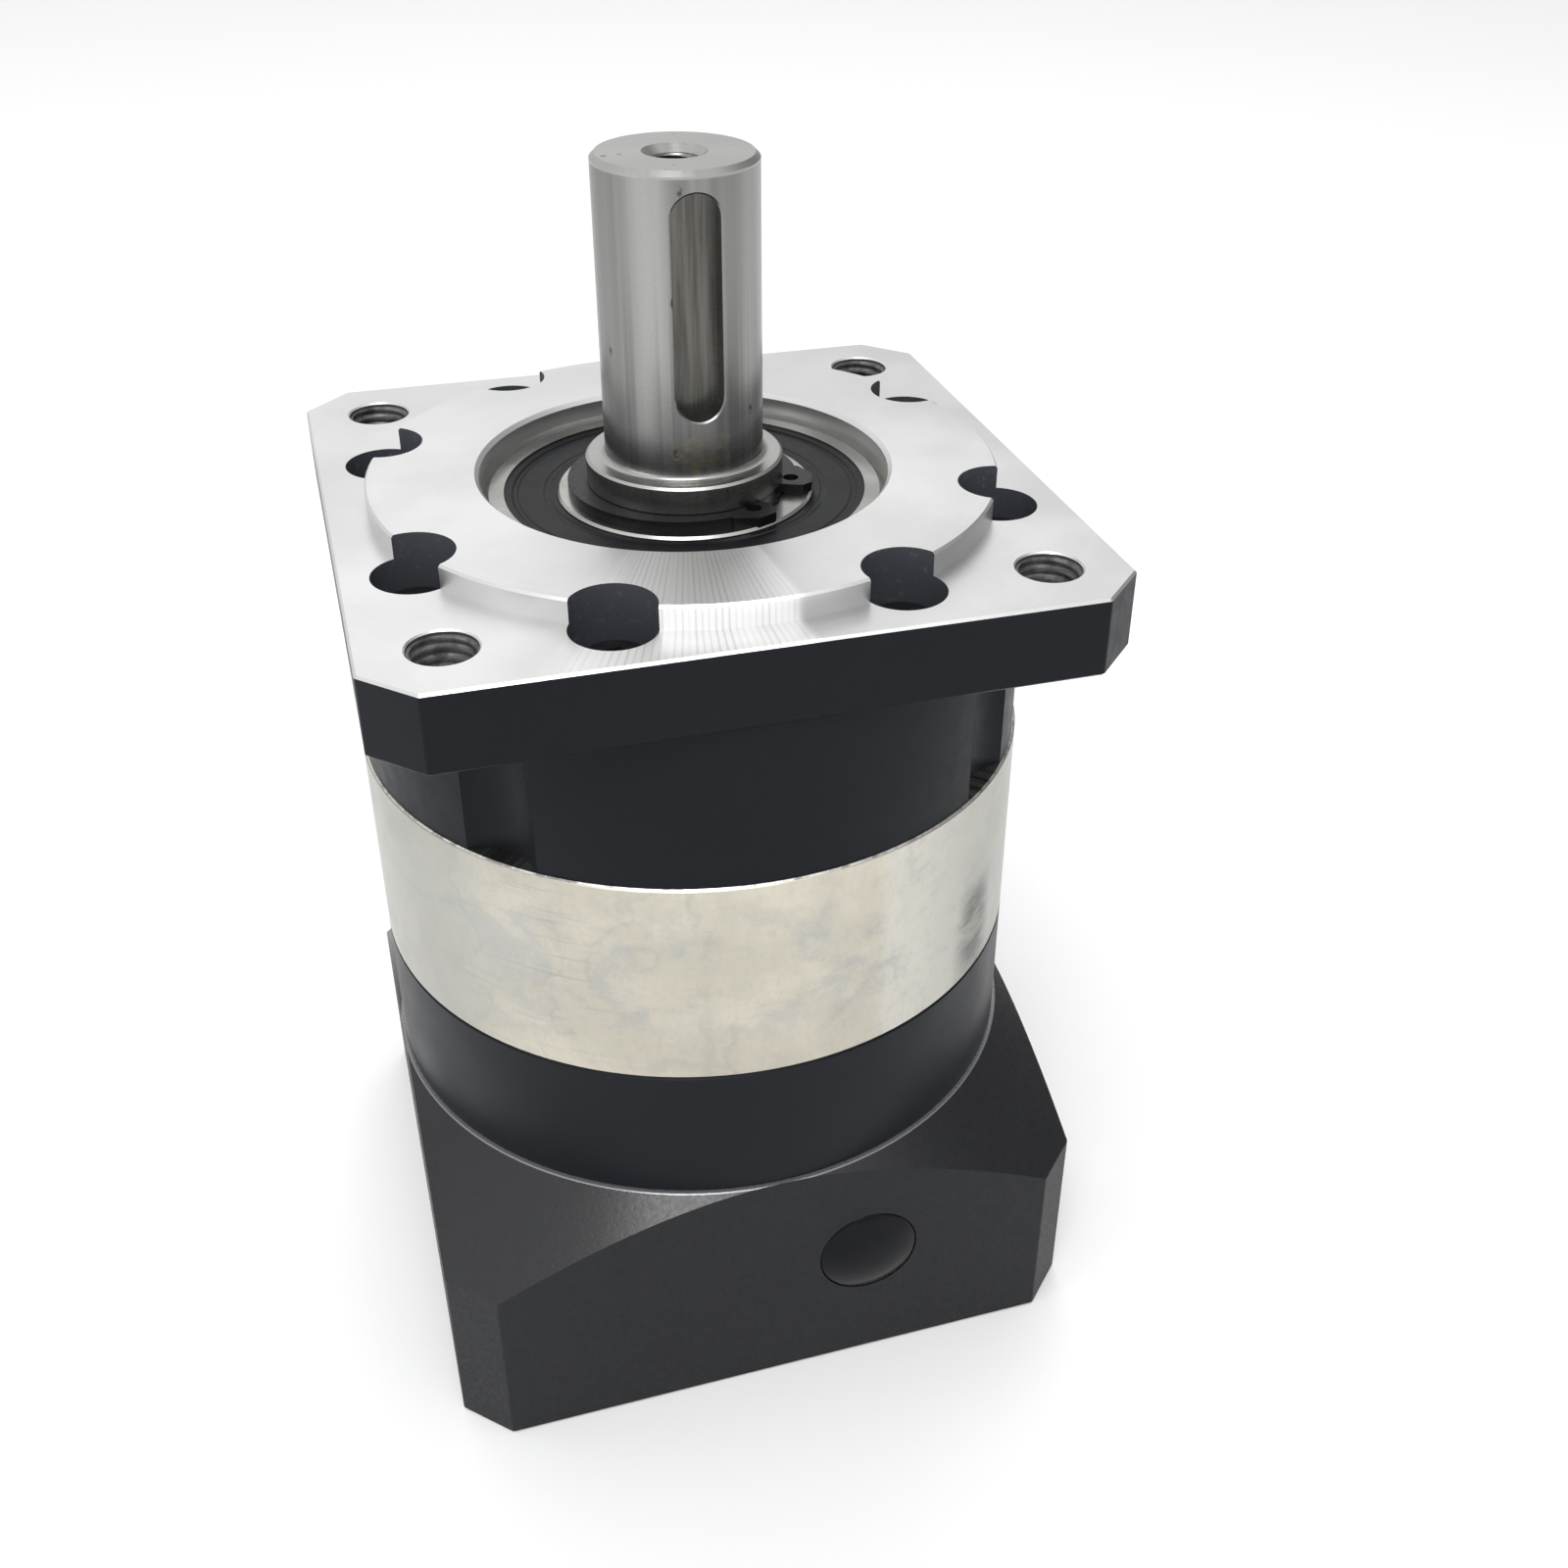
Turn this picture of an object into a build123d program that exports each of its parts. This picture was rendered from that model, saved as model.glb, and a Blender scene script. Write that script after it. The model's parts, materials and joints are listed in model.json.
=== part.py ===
from build123d import *
import math
import os

# Inline planetary gear reducer, 90 mm frame, square output flange, 4:1.
# Millimetres. Origin at the centre of the motor face, +Z up along the output shaft.
# The front of the reducer, with the keyway and the access plug, faces -Y.

# ---------------------------------------------------------------- driving dimensions
FRAME_SIZE = 90.0            # side of the square flange and of the square motor adapter
CORNER_CUT = 6.0             # leg of the 45 degree corner chamfer of both squares
BODY_R = 44.6                # ring gear and input housing
HOUSING_BODY_R = 44.2        # round part of the output housing
EDGE_BREAK = 0.3             # small chamfer on the outside edges
CORNER_RADIUS = 0.6          # on the upright edges of both squares
MARGIN = 5.0                 # how far a cutting tool runs past the material

ADAPTER_TOP = 37.0           # z of the joint between motor adapter and input housing
CONE_TOP_R = 45.0
CONE_FOOT_Z = 26.2           # where the turned cone reaches the chamfered corners
NOSE_LENGTH = 3.0            # of the input housing's nose inside the adapter
RING_BOTTOM = 57.0
RING_TOP = 86.5
FLANGE_FACE = 118.5
FLANGE_THICKNESS = 10.0
PILOT_R = 40.0
PILOT_HEIGHT = 3.0

MOUNT_PCD = 100.0            # four tapped holes in the flange corners
MOUNT_HOLE_R = 4.0           # M8
NUT_SPACE_R = 8.0            # corner scallops in the round body
REGISTER_R = 35.0            # spigots that centre the housings in the ring gear
REGISTER_DEPTH = 4.0
SPIGOT_BORE_R = 31.0
BEARING_SHOULDER = 2.5       # radial height of the shoulders behind the bearings
BORE_CHAMFER = 0.5
THREAD_ENTRY = 0.2           # chamfer at the mouth of the flange's tapped holes

# output shaft
SHAFT_R = 10.0
SHAFT_END = 160.0
COLLAR_TOP = 123.15
COLLAR_R = 12.5
WAIST_R = 15.8               # between the two output bearings
REAR_SHOULDER_R = 21.0       # between the carrier and the rear bearing
SHAFT_FILLET = 0.8
SHAFT_CHAMFER = 0.6
KEYWAY_WIDTH = 6.0
KEYWAY_DEPTH = 3.5
KEYWAY_BOTTOM = 130.5
KEYWAY_TOP = 157.5
KEYWAY_CHAMFER = 0.2
RIM_REACH = 1.0              # the keyway's rim lies this far in front of its floor, or further
SHAFT_SEAM_ANGLE = 52.5      # where the seam lines of the shaft's round faces lie
SUN_SPACE_RISE = 1.0         # the sun gear's space reaches this far above the planets' spaces
END_THREAD_R = 3.0           # M6
END_THREAD_DEPTH = 16.0
END_COUNTERSINK_R = 3.95

# gears
MODULE = 1.0
PRESSURE_ANGLE = math.radians(20.0)
SUN_TEETH = 21
PLANET_TEETH = 21
RING_TEETH = 63
PLANET_COUNT = 3
FIRST_PLANET_ANGLE = 90.0
FLANK_RELIEF = 0.04          # taken off each flank for backlash
ADDENDUM = 1.0 * MODULE
DEDENDUM = 1.25 * MODULE
PLANET_WIDTH = 14.0

# planet carrier, one piece with the output shaft
CARRIER_R = 29.5
CARRIER_BOTTOM = 58.0
CARRIER_TOP = 85.5
PLANET_SPACE_BOTTOM = 63.5
PLANET_SPACE_TOP = 79.5
PLANET_SPACE_R = 12.4
SUN_SPACE_R = 12.5
WASHER_THICKNESS = 0.8
WASHER_R = 8.6
PIN_R = 4.5
PIN_RECESS = 0.5             # how far the pins end inside the carrier's faces
NEEDLE_TRACK = 2.0           # radial room between pin and planet bore
NEEDLE_COUNT = 16
NEEDLE_END_GAP = 0.3
RUNNING_GAP = 0.02

# input shaft and motor clamp
MOTOR_SHAFT_R = 7.0
HUB_R = 10.0
HUB_BOTTOM = 11.0
HUB_TOP = 38.0
HUB_BORE_TOP = 44.0
HUB_CONE_R = 13.0            # where the cone above the hub meets the bearing journal
JOURNAL_BOTTOM = 41.0
INPUT_SHOULDER_R = 17.0
INPUT_SHOULDER_HEIGHT = 1.5
SUN_NECK_CLEARANCE = 0.25    # the neck's radius is this much under the tooth roots
HUB_SLOT_TOP = 31.0
HUB_SLOT_WIDTH = 1.5
CLAMP_R = 20.0
CLAMP_BOTTOM = 13.0
CLAMP_TOP = 27.0
CLAMP_CHAMFER = 0.5
CLAMP_GAP = 2.0
CLAMP_SCREW_X = 13.0
CLAMP_SCREW_Z = 20.0
CLAMP_SCREW_SEAT = 8.0       # from the gap's middle to the seat of the screw's head
CLAMP_SCREW_LENGTH = 18.0
CLAMP_HOLE_DEPTH = 11.0      # from the gap's middle to the bottom of the tapped hole
CLAMP_HEAD_CLEARANCE = 0.15
SUN_TOP = 79.0
SUN_TEETH_BOTTOM = 61.5

# motor adapter
ADAPTER_CAVITY_R = 27.0
MOTOR_REGISTER_R = 36.55
MOTOR_REGISTER_DEPTH = 3.0
MOTOR_BOLT_SPACING = 69.6
MOTOR_BOLT_DEPTH = 15.0
PLUG_X = 12.5
PLUG_Z = 20.0
PLUG_R = 7.03
PLUG_HOLE_R = 7.1
PLUG_LENGTH = 6.0
PLUG_DOME = 1.55             # rise of the outer face from its edge to its middle
PLUG_CROWN = 1.5             # how far the outer face stands out of the block
PLUG_FLAT_R = 0.4            # the small flat at the middle of the dome
PLUG_ROUNDING = 0.5
PLUG_FACE = 2.0              # thickness of the plug's closed end
PLUG_WALL = 1.6
KEY_HOLE_R = 6.0

# M5 socket head screws
M5_R = 2.5
M5_CLEARANCE_R = 2.75
M5_HEAD_R = 4.25
M5_HEAD_HEIGHT = 5.0
M5_CHAMFER = 0.4
M5_SOCKET_FLATS = 4.0
M5_SOCKET_DEPTH = 2.6

FLANGE_SCREW_CIRCLE_R = 40.0
FLANGE_SCREW_OFFSET = 20.0   # degrees each side of the corner diagonals
FLANGE_COUNTERBORE_R = 5.1
FLANGE_SCREW_SEAT = 110.0
FLANGE_SCREW_LENGTH = 35.0
REAR_SCREW_CIRCLE_R = 39.0
REAR_COUNTERBORE_R = 4.5
REAR_SCREW_SEAT = 43.0
REAR_SCREW_LENGTH = 25.0
ADAPTER_SCREW_CIRCLE_R = 32.0
ADAPTER_SCREW_ANGLE = 165.0
ADAPTER_SCREW_SEAT = 27.0
ADAPTER_SCREW_LENGTH = 20.0

# ball bearings: bore radius, outer radius, width, corner chamfer, balls, ball diameter, base z
FRONT_BEARING = dict(bore_r=12.5, outer_r=26.0, width=15.0, corner=1.0, balls=9, ball_d=7.94, z=103.5)
REAR_BEARING = dict(bore_r=17.5, outer_r=31.0, width=14.0, corner=1.0, balls=11, ball_d=7.94, z=87.5)
INPUT_BEARING = dict(bore_r=15.0, outer_r=23.5, width=9.0, corner=0.6, balls=14, ball_d=4.76, z=46.0)
RACE_SHOULDER = 0.72         # of the ball radius, from the pitch circle to each ring's shoulder
SEAL_SEAT = 0.25             # of the outer ring's thickness, cut away for the seals
SEAL_THICKNESS = 0.8
SEAL_GAP = 0.06
SEAL_RECESS = 0.25
SEAL_GROOVE = 0.2            # depth of the moulded grooves in a seal's face
CAGE_HALF_WALL = 0.16        # of the gap between the two rings
CAGE_RIM = 0.7
POCKET_CLEARANCE = 0.08

# snap rings: groove radius, thickness, width opposite the gap, width at the gap, lug height
OUTPUT_SNAP = dict(groove_r=11.9, thickness=1.2, wide=3.1, narrow=2.4, lug=4.4)
INPUT_SNAP = dict(groove_r=14.3, thickness=1.5, wide=3.6, narrow=2.6, lug=4.0)
HOUSING_SNAP = dict(groove_r=24.75, thickness=1.75, wide=4.0, narrow=3.0, lug=5.4)
OUTPUT_SNAP_ANGLE = -42.0    # where the gap points
SHAFT_LUG_ANGLE = 23.0       # from the gap's middle to the lug holes
SHAFT_GAP_ANGLE = 13.5       # half the gap
BORE_LUG_ANGLE = 14.0
BORE_GAP_ANGLE = 9.0
LUG_HOLE_R = 1.0
LUG_HOLE_PLACE = 0.375       # of the lug's height
LUG_WIDTH = 2.3              # from the lug hole to the gap
LUG_TAIL = 3.8               # from the lug hole to where the lug joins the ring
GROOVE_PLAY = 0.1

# o-rings in the two spigots
ORING_DEPTH = 1.2
ORING_WIDTH = 1.8
ORING_ROUNDING = 0.35

# ---------------------------------------------------------------- derived sizes
SUN_PITCH_R = MODULE * SUN_TEETH / 2
PLANET_PITCH_R = MODULE * PLANET_TEETH / 2
RING_PITCH_R = MODULE * RING_TEETH / 2
PLANET_CENTRE_R = SUN_PITCH_R + PLANET_PITCH_R
PLANET_BORE_R = PIN_R + NEEDLE_TRACK
PLANET_BOTTOM = (PLANET_SPACE_BOTTOM + PLANET_SPACE_TOP - PLANET_WIDTH) / 2
PLANET_ANGLES = [FIRST_PLANET_ANGLE + 360.0 / PLANET_COUNT * k for k in range(PLANET_COUNT)]
MOUNT_OFFSET = MOUNT_PCD / 2 / math.sqrt(2)
SHOULDER_Z = FRONT_BEARING["z"] - 2.0
FLANGE_BOTTOM = FLANGE_FACE - FLANGE_THICKNESS
PILOT_TOP = FLANGE_FACE + PILOT_HEIGHT
FACE_Y = -FRAME_SIZE / 2
UP = (Align.CENTER, Align.CENTER, Align.MIN)


# ---------------------------------------------------------------- shape helpers
def rod(radius, bottom, top, x=0.0, y=0.0):
    """A solid cylinder along Z."""
    return Pos(x, y, bottom) * Cylinder(radius, top - bottom, align=UP)


def tube(inner_r, outer_r, bottom, top):
    """A ring along Z."""
    return rod(outer_r, bottom, top) - rod(inner_r, bottom, top)


def turned(*points):
    """A turned solid from its half section, given as (radius, z) corners."""
    section = make_face(Polyline(*points, close=True))
    return revolve(Plane.XZ * section, Axis.Z)


def polar(radius, angle):
    """The point at a radius and an angle in degrees."""
    turn = math.radians(angle)
    return (radius * math.cos(turn), radius * math.sin(turn))


def chamfered_square(bottom, top):
    """The frame's square with its four corners cut at 45 degrees and its upright edges rounded."""
    half = FRAME_SIZE / 2
    near = half - CORNER_CUT
    corners = [(half, -near), (half, near), (near, half), (-near, half)]
    corners += [(-half, near), (-half, -near), (-near, -half), (near, -half)]
    block = extrude(make_face(Polyline(*corners, close=True)), top - bottom)
    block = fillet(block.edges().filter_by(Axis.Z), CORNER_RADIUS)
    return Pos(0, 0, bottom) * block


def around(shape, angles):
    """Copies of a shape turned about Z to each angle."""
    return [Rot(0, 0, angle) * shape for angle in angles]


def flange_screw_angles():
    """Two screws each side of every corner diagonal."""
    angles = []
    for quarter in range(4):
        diagonal = 45.0 + 90.0 * quarter
        angles += [diagonal - FLANGE_SCREW_OFFSET, diagonal + FLANGE_SCREW_OFFSET]
    return angles


def adapter_screw_angles():
    """Four screws, turned so that they clear the access hole."""
    return [ADAPTER_SCREW_ANGLE + 90.0 * quarter for quarter in range(4)]


# ---------------------------------------------------------------- gears
def involute(angle):
    """The involute function of a pressure angle."""
    return math.tan(angle) - angle


def tooth_half_angle(pitch_r, half_thickness, radius):
    """Half the angle that a tooth spans at a radius."""
    base_r = pitch_r * math.cos(PRESSURE_ANGLE)
    local = math.acos(min(1.0, base_r / radius))
    return half_thickness / pitch_r + involute(PRESSURE_ANGLE) - involute(local)


def gear_outline(teeth, low_r, high_r, half_thickness):
    """A closed outline of involute teeth that point outward, with one tooth on the X axis."""
    pitch_r = MODULE * teeth / 2
    base_r = pitch_r * math.cos(PRESSURE_ANGLE)
    start_r = max(low_r, base_r)
    edges = []
    step = 2 * math.pi / teeth

    def at(radius, angle):
        return Vector(radius * math.cos(angle), radius * math.sin(angle))

    for index in range(teeth):
        centre = index * step
        start = tooth_half_angle(pitch_r, half_thickness, start_r)
        middle = tooth_half_angle(pitch_r, half_thickness, pitch_r)
        end = tooth_half_angle(pitch_r, half_thickness, high_r)
        if start_r > low_r:
            edges.append(Line(at(low_r, centre - start), at(start_r, centre - start)))
        edges.append(ThreePointArc(at(start_r, centre - start), at(pitch_r, centre - middle),
                                   at(high_r, centre - end)))
        edges.append(ThreePointArc(at(high_r, centre - end), at(high_r, centre),
                                   at(high_r, centre + end)))
        edges.append(ThreePointArc(at(high_r, centre + end), at(pitch_r, centre + middle),
                                   at(start_r, centre + start)))
        if start_r > low_r:
            edges.append(Line(at(start_r, centre + start), at(low_r, centre + start)))
        edges.append(ThreePointArc(at(low_r, centre + start), at(low_r, centre + step / 2),
                                   at(low_r, centre + step - start)))
    return Wire([edge.edge() for edge in edges])


def outer_teeth(teeth, bottom, top):
    """A toothed cylinder with one tooth on the X axis."""
    pitch_r = MODULE * teeth / 2
    half_thickness = math.pi * MODULE / 4 - FLANK_RELIEF
    outline = gear_outline(teeth, pitch_r - DEDENDUM, pitch_r + ADDENDUM, half_thickness)
    return Pos(0, 0, bottom) * extrude(Face(outline), top - bottom)


def ring_gear():
    """The toothed middle ring, with a register at each end and tapped screw holes."""
    half_space = math.pi * MODULE / 4 + FLANK_RELIEF
    spaces = gear_outline(RING_TEETH, RING_PITCH_R - ADDENDUM, RING_PITCH_R + DEDENDUM, half_space)
    spaces = spaces.rotate(Axis.Z, FIRST_PLANET_ANGLE)
    section = Face(Wire([Edge.make_circle(BODY_R)]), [spaces])
    ring = Pos(0, 0, RING_BOTTOM) * extrude(section, RING_TOP - RING_BOTTOM)
    outside = ring.faces().filter_by(GeomType.CYLINDER).sort_by(SortBy.AREA)[-1]
    ring = chamfer(outside.edges().filter_by(GeomType.CIRCLE), EDGE_BREAK)
    ring -= rod(REGISTER_R, RING_TOP - REGISTER_DEPTH, RING_TOP)
    ring -= rod(REGISTER_R, RING_BOTTOM, RING_BOTTOM + REGISTER_DEPTH)
    front_depth = FLANGE_SCREW_SEAT - FLANGE_SCREW_LENGTH
    front_hole = rod(M5_R, front_depth, RING_TOP, x=FLANGE_SCREW_CIRCLE_R)
    rear_depth = REAR_SCREW_SEAT + REAR_SCREW_LENGTH
    rear_hole = rod(M5_R, RING_BOTTOM, rear_depth, x=REAR_SCREW_CIRCLE_R)
    ring -= around(front_hole, flange_screw_angles())
    ring -= around(rear_hole, flange_screw_angles())
    return ring


def planet_gear(angle):
    """A planet gear on its needle rollers, with one tooth pointing outward."""
    gear = outer_teeth(PLANET_TEETH, PLANET_BOTTOM, PLANET_BOTTOM + PLANET_WIDTH)
    gear -= rod(PLANET_BORE_R, PLANET_BOTTOM, PLANET_BOTTOM + PLANET_WIDTH)
    return Rot(0, 0, angle) * (Pos(PLANET_CENTRE_R, 0, 0) * gear)


def needle_rollers(angle):
    """The full set of needles between a planet pin and its gear."""
    needle_r = NEEDLE_TRACK / 2 - RUNNING_GAP
    low = PLANET_BOTTOM + NEEDLE_END_GAP
    high = PLANET_BOTTOM + PLANET_WIDTH - NEEDLE_END_GAP
    needle = rod(needle_r, low, high, x=PIN_R + NEEDLE_TRACK / 2)
    needles = around(needle, [360.0 / NEEDLE_COUNT * index for index in range(NEEDLE_COUNT)])
    place = Rot(0, 0, angle) * Pos(PLANET_CENTRE_R, 0, 0)
    return Compound([place * one for one in needles])


def thrust_washers(angle):
    """The two washers that guide one planet gear endways."""
    low = tube(PIN_R, WASHER_R, PLANET_SPACE_BOTTOM, PLANET_SPACE_BOTTOM + WASHER_THICKNESS)
    high = tube(PIN_R, WASHER_R, PLANET_SPACE_TOP - WASHER_THICKNESS, PLANET_SPACE_TOP)
    place = Rot(0, 0, angle) * Pos(PLANET_CENTRE_R, 0, 0)
    return Compound([place * low, place * high])


def planet_pin(angle):
    """A hardened pin pressed into both plates of the carrier."""
    pin = rod(PIN_R, CARRIER_BOTTOM + PIN_RECESS, CARRIER_TOP - PIN_RECESS)
    pin = chamfer(pin.edges().filter_by(GeomType.CIRCLE), EDGE_BREAK)
    return Rot(0, 0, angle) * (Pos(PLANET_CENTRE_R, 0, 0) * pin)


# ---------------------------------------------------------------- shafts
def output_shaft():
    """The output shaft in one piece with the planet carrier."""
    rear_top = REAR_BEARING["z"] + REAR_BEARING["width"]
    groove_r = OUTPUT_SNAP["groove_r"]
    groove_top = FLANGE_FACE + OUTPUT_SNAP["thickness"] + GROOVE_PLAY
    shaft = turned(
        (0, CARRIER_BOTTOM),
        (CARRIER_R, CARRIER_BOTTOM),
        (CARRIER_R, CARRIER_TOP),
        (REAR_SHOULDER_R, CARRIER_TOP),
        (REAR_SHOULDER_R, REAR_BEARING["z"]),
        (REAR_BEARING["bore_r"], REAR_BEARING["z"]),
        (REAR_BEARING["bore_r"], rear_top),
        (WAIST_R, rear_top),
        (WAIST_R, FRONT_BEARING["z"]),
        (COLLAR_R, FRONT_BEARING["z"]),
        (COLLAR_R, FLANGE_FACE),
        (groove_r, FLANGE_FACE),
        (groove_r, groove_top),
        (COLLAR_R, groove_top),
        (COLLAR_R, COLLAR_TOP - EDGE_BREAK),
        (COLLAR_R - EDGE_BREAK, COLLAR_TOP),
        (SHAFT_R, COLLAR_TOP),
        (SHAFT_R, SHAFT_END - SHAFT_CHAMFER),
        (SHAFT_R - SHAFT_CHAMFER, SHAFT_END),
        (0, SHAFT_END),
    )
    root = shaft.edges().filter_by(GeomType.CIRCLE).filter_by(
        lambda edge: abs(edge.radius - SHAFT_R) < 0.01 and abs(edge.center().Z - COLLAR_TOP) < 0.01)
    shaft = fillet(root, SHAFT_FILLET)
    shaft = Rot(0, 0, SHAFT_SEAM_ANGLE) * shaft
    for angle in PLANET_ANGLES:
        x, y = polar(PLANET_CENTRE_R, angle)
        shaft -= rod(PLANET_SPACE_R, PLANET_SPACE_BOTTOM, PLANET_SPACE_TOP, x, y)
        shaft -= rod(PIN_R, CARRIER_BOTTOM, CARRIER_TOP, x, y)
    shaft -= rod(SUN_SPACE_R, CARRIER_BOTTOM, PLANET_SPACE_TOP + SUN_SPACE_RISE)
    slot = SlotOverall(KEYWAY_TOP - KEYWAY_BOTTOM, KEYWAY_WIDTH, rotation=90)
    slot_z = (KEYWAY_TOP + KEYWAY_BOTTOM) / 2
    slot_y = -(SHAFT_R - KEYWAY_DEPTH)
    outward = Plane(origin=(0, slot_y, slot_z), x_dir=(1, 0, 0), z_dir=(0, -1, 0))
    shaft -= extrude(outward * slot, SHAFT_R)
    rim = shaft.edges().filter_by(
        lambda edge: KEYWAY_BOTTOM - RIM_REACH < edge.center().Z < KEYWAY_TOP + RIM_REACH
        and edge.center().Y < slot_y - RIM_REACH)
    shaft = chamfer(rim, KEYWAY_CHAMFER)
    thread_bottom = SHAFT_END - END_THREAD_DEPTH
    countersink = END_COUNTERSINK_R - END_THREAD_R
    end_hole = turned(
        (0, thread_bottom - END_THREAD_R / 2),
        (END_THREAD_R, thread_bottom),
        (END_THREAD_R, SHAFT_END - countersink),
        (END_COUNTERSINK_R, SHAFT_END),
        (0, SHAFT_END),
    )
    return shaft - end_hole


def sun_gear_shaft():
    """The input shaft: sun gear on top, slotted clamping hub at the motor end."""
    bearing_top = INPUT_BEARING["z"] + INPUT_BEARING["width"]
    journal_r = INPUT_BEARING["bore_r"]
    groove_r = INPUT_SNAP["groove_r"]
    groove_bottom = INPUT_BEARING["z"] - INPUT_SNAP["thickness"] - GROOVE_PLAY
    shoulder_top = bearing_top + INPUT_SHOULDER_HEIGHT
    neck_r = SUN_PITCH_R - DEDENDUM - SUN_NECK_CLEARANCE
    shaft = turned(
        (0, HUB_BOTTOM),
        (HUB_R, HUB_BOTTOM),
        (HUB_R, HUB_TOP),
        (HUB_CONE_R, JOURNAL_BOTTOM),
        (journal_r, JOURNAL_BOTTOM),
        (journal_r, groove_bottom),
        (groove_r, groove_bottom),
        (groove_r, INPUT_BEARING["z"]),
        (journal_r, INPUT_BEARING["z"]),
        (journal_r, bearing_top),
        (INPUT_SHOULDER_R, bearing_top),
        (INPUT_SHOULDER_R, shoulder_top),
        (neck_r, shoulder_top),
        (neck_r, SUN_TOP),
        (0, SUN_TOP),
    )
    teeth = Rot(0, 0, FIRST_PLANET_ANGLE) * outer_teeth(SUN_TEETH, SUN_TEETH_BOTTOM, SUN_TOP)
    shaft += teeth
    shaft -= rod(MOTOR_SHAFT_R, HUB_BOTTOM, HUB_BORE_TOP)
    slot_height = HUB_SLOT_TOP - HUB_BOTTOM
    slot = Pos(0, 0, HUB_BOTTOM) * Box(2 * HUB_R + MARGIN, HUB_SLOT_WIDTH, slot_height, align=UP)
    return shaft - slot - Rot(0, 0, 90) * slot


def clamp_ring():
    """The split collar that squeezes the hub onto the motor shaft."""
    collar = tube(HUB_R, CLAMP_R, CLAMP_BOTTOM, CLAMP_TOP)
    rims = collar.edges().filter_by(GeomType.CIRCLE)
    collar = chamfer(rims.filter_by(lambda edge: edge.radius > HUB_R + 1), CLAMP_CHAMFER)
    height = CLAMP_TOP - CLAMP_BOTTOM
    gap = Pos(CLAMP_R / 2, 0, CLAMP_BOTTOM) * Box(CLAMP_R + MARGIN, CLAMP_GAP, height, align=UP)
    collar -= gap
    along_y = Pos(CLAMP_SCREW_X, 0, CLAMP_SCREW_Z) * Rot(90, 0, 0)
    head_space = Pos(0, 0, CLAMP_SCREW_SEAT) * Cylinder(M5_HEAD_R + CLAMP_HEAD_CLEARANCE, CLAMP_R, align=UP)
    shank = Pos(0, 0, -CLAMP_HOLE_DEPTH) * Cylinder(M5_R, 2 * CLAMP_R, align=UP)
    return collar - along_y * head_space - along_y * shank


def clamp_screw():
    """The M5 screw across the gap of the clamp ring."""
    along_y = Pos(CLAMP_SCREW_X, 0, CLAMP_SCREW_Z) * Rot(90, 0, 0)
    return along_y * Pos(0, 0, CLAMP_SCREW_SEAT) * socket_screw(CLAMP_SCREW_LENGTH)


# ---------------------------------------------------------------- housings
def output_housing():
    """Square flange, pilot and round body in one piece, bored for both output bearings."""
    flange = chamfered_square(FLANGE_BOTTOM, FLANGE_FACE)
    rims = flange.faces().sort_by(Axis.Z)
    flange = chamfer(rims[-1].edges() + rims[0].edges(), EDGE_BREAK)
    pilot = rod(PILOT_R, FLANGE_FACE, PILOT_TOP)
    pilot = chamfer(pilot.edges().sort_by(Axis.Z)[-1], EDGE_BREAK)
    body = rod(HOUSING_BODY_R, RING_TOP, FLANGE_BOTTOM)
    spigot = rod(REGISTER_R, RING_TOP - REGISTER_DEPTH, RING_TOP)
    housing = flange + pilot + body + spigot
    rear_top = REAR_BEARING["z"] + REAR_BEARING["width"]
    housing -= rod(SPIGOT_BORE_R, RING_TOP - REGISTER_DEPTH, rear_top)
    housing -= rod(FRONT_BEARING["outer_r"] - BEARING_SHOULDER, SHOULDER_Z, FRONT_BEARING["z"])
    bore_r = FRONT_BEARING["outer_r"]
    housing -= turned(
        (0, FRONT_BEARING["z"]),
        (bore_r, FRONT_BEARING["z"]),
        (bore_r, PILOT_TOP - BORE_CHAMFER),
        (bore_r + BORE_CHAMFER, PILOT_TOP),
        (0, PILOT_TOP),
    )
    housing -= oring_groove(RING_TOP - REGISTER_DEPTH / 2)
    for x in (-MOUNT_OFFSET, MOUNT_OFFSET):
        for y in (-MOUNT_OFFSET, MOUNT_OFFSET):
            housing -= rod(MOUNT_HOLE_R, FLANGE_BOTTOM, FLANGE_FACE, x, y)
            entry = Cone(MOUNT_HOLE_R, MOUNT_HOLE_R + THREAD_ENTRY, THREAD_ENTRY, align=UP)
            housing -= Pos(x, y, FLANGE_FACE - THREAD_ENTRY) * entry
            housing -= rod(NUT_SPACE_R, RING_TOP, FLANGE_BOTTOM, x, y)
    counterbore = rod(FLANGE_COUNTERBORE_R, FLANGE_SCREW_SEAT, PILOT_TOP, x=FLANGE_SCREW_CIRCLE_R)
    clearance = rod(M5_CLEARANCE_R, RING_TOP, FLANGE_SCREW_SEAT, x=FLANGE_SCREW_CIRCLE_R)
    housing -= around(counterbore, flange_screw_angles())
    housing -= around(clearance, flange_screw_angles())
    return housing


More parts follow.
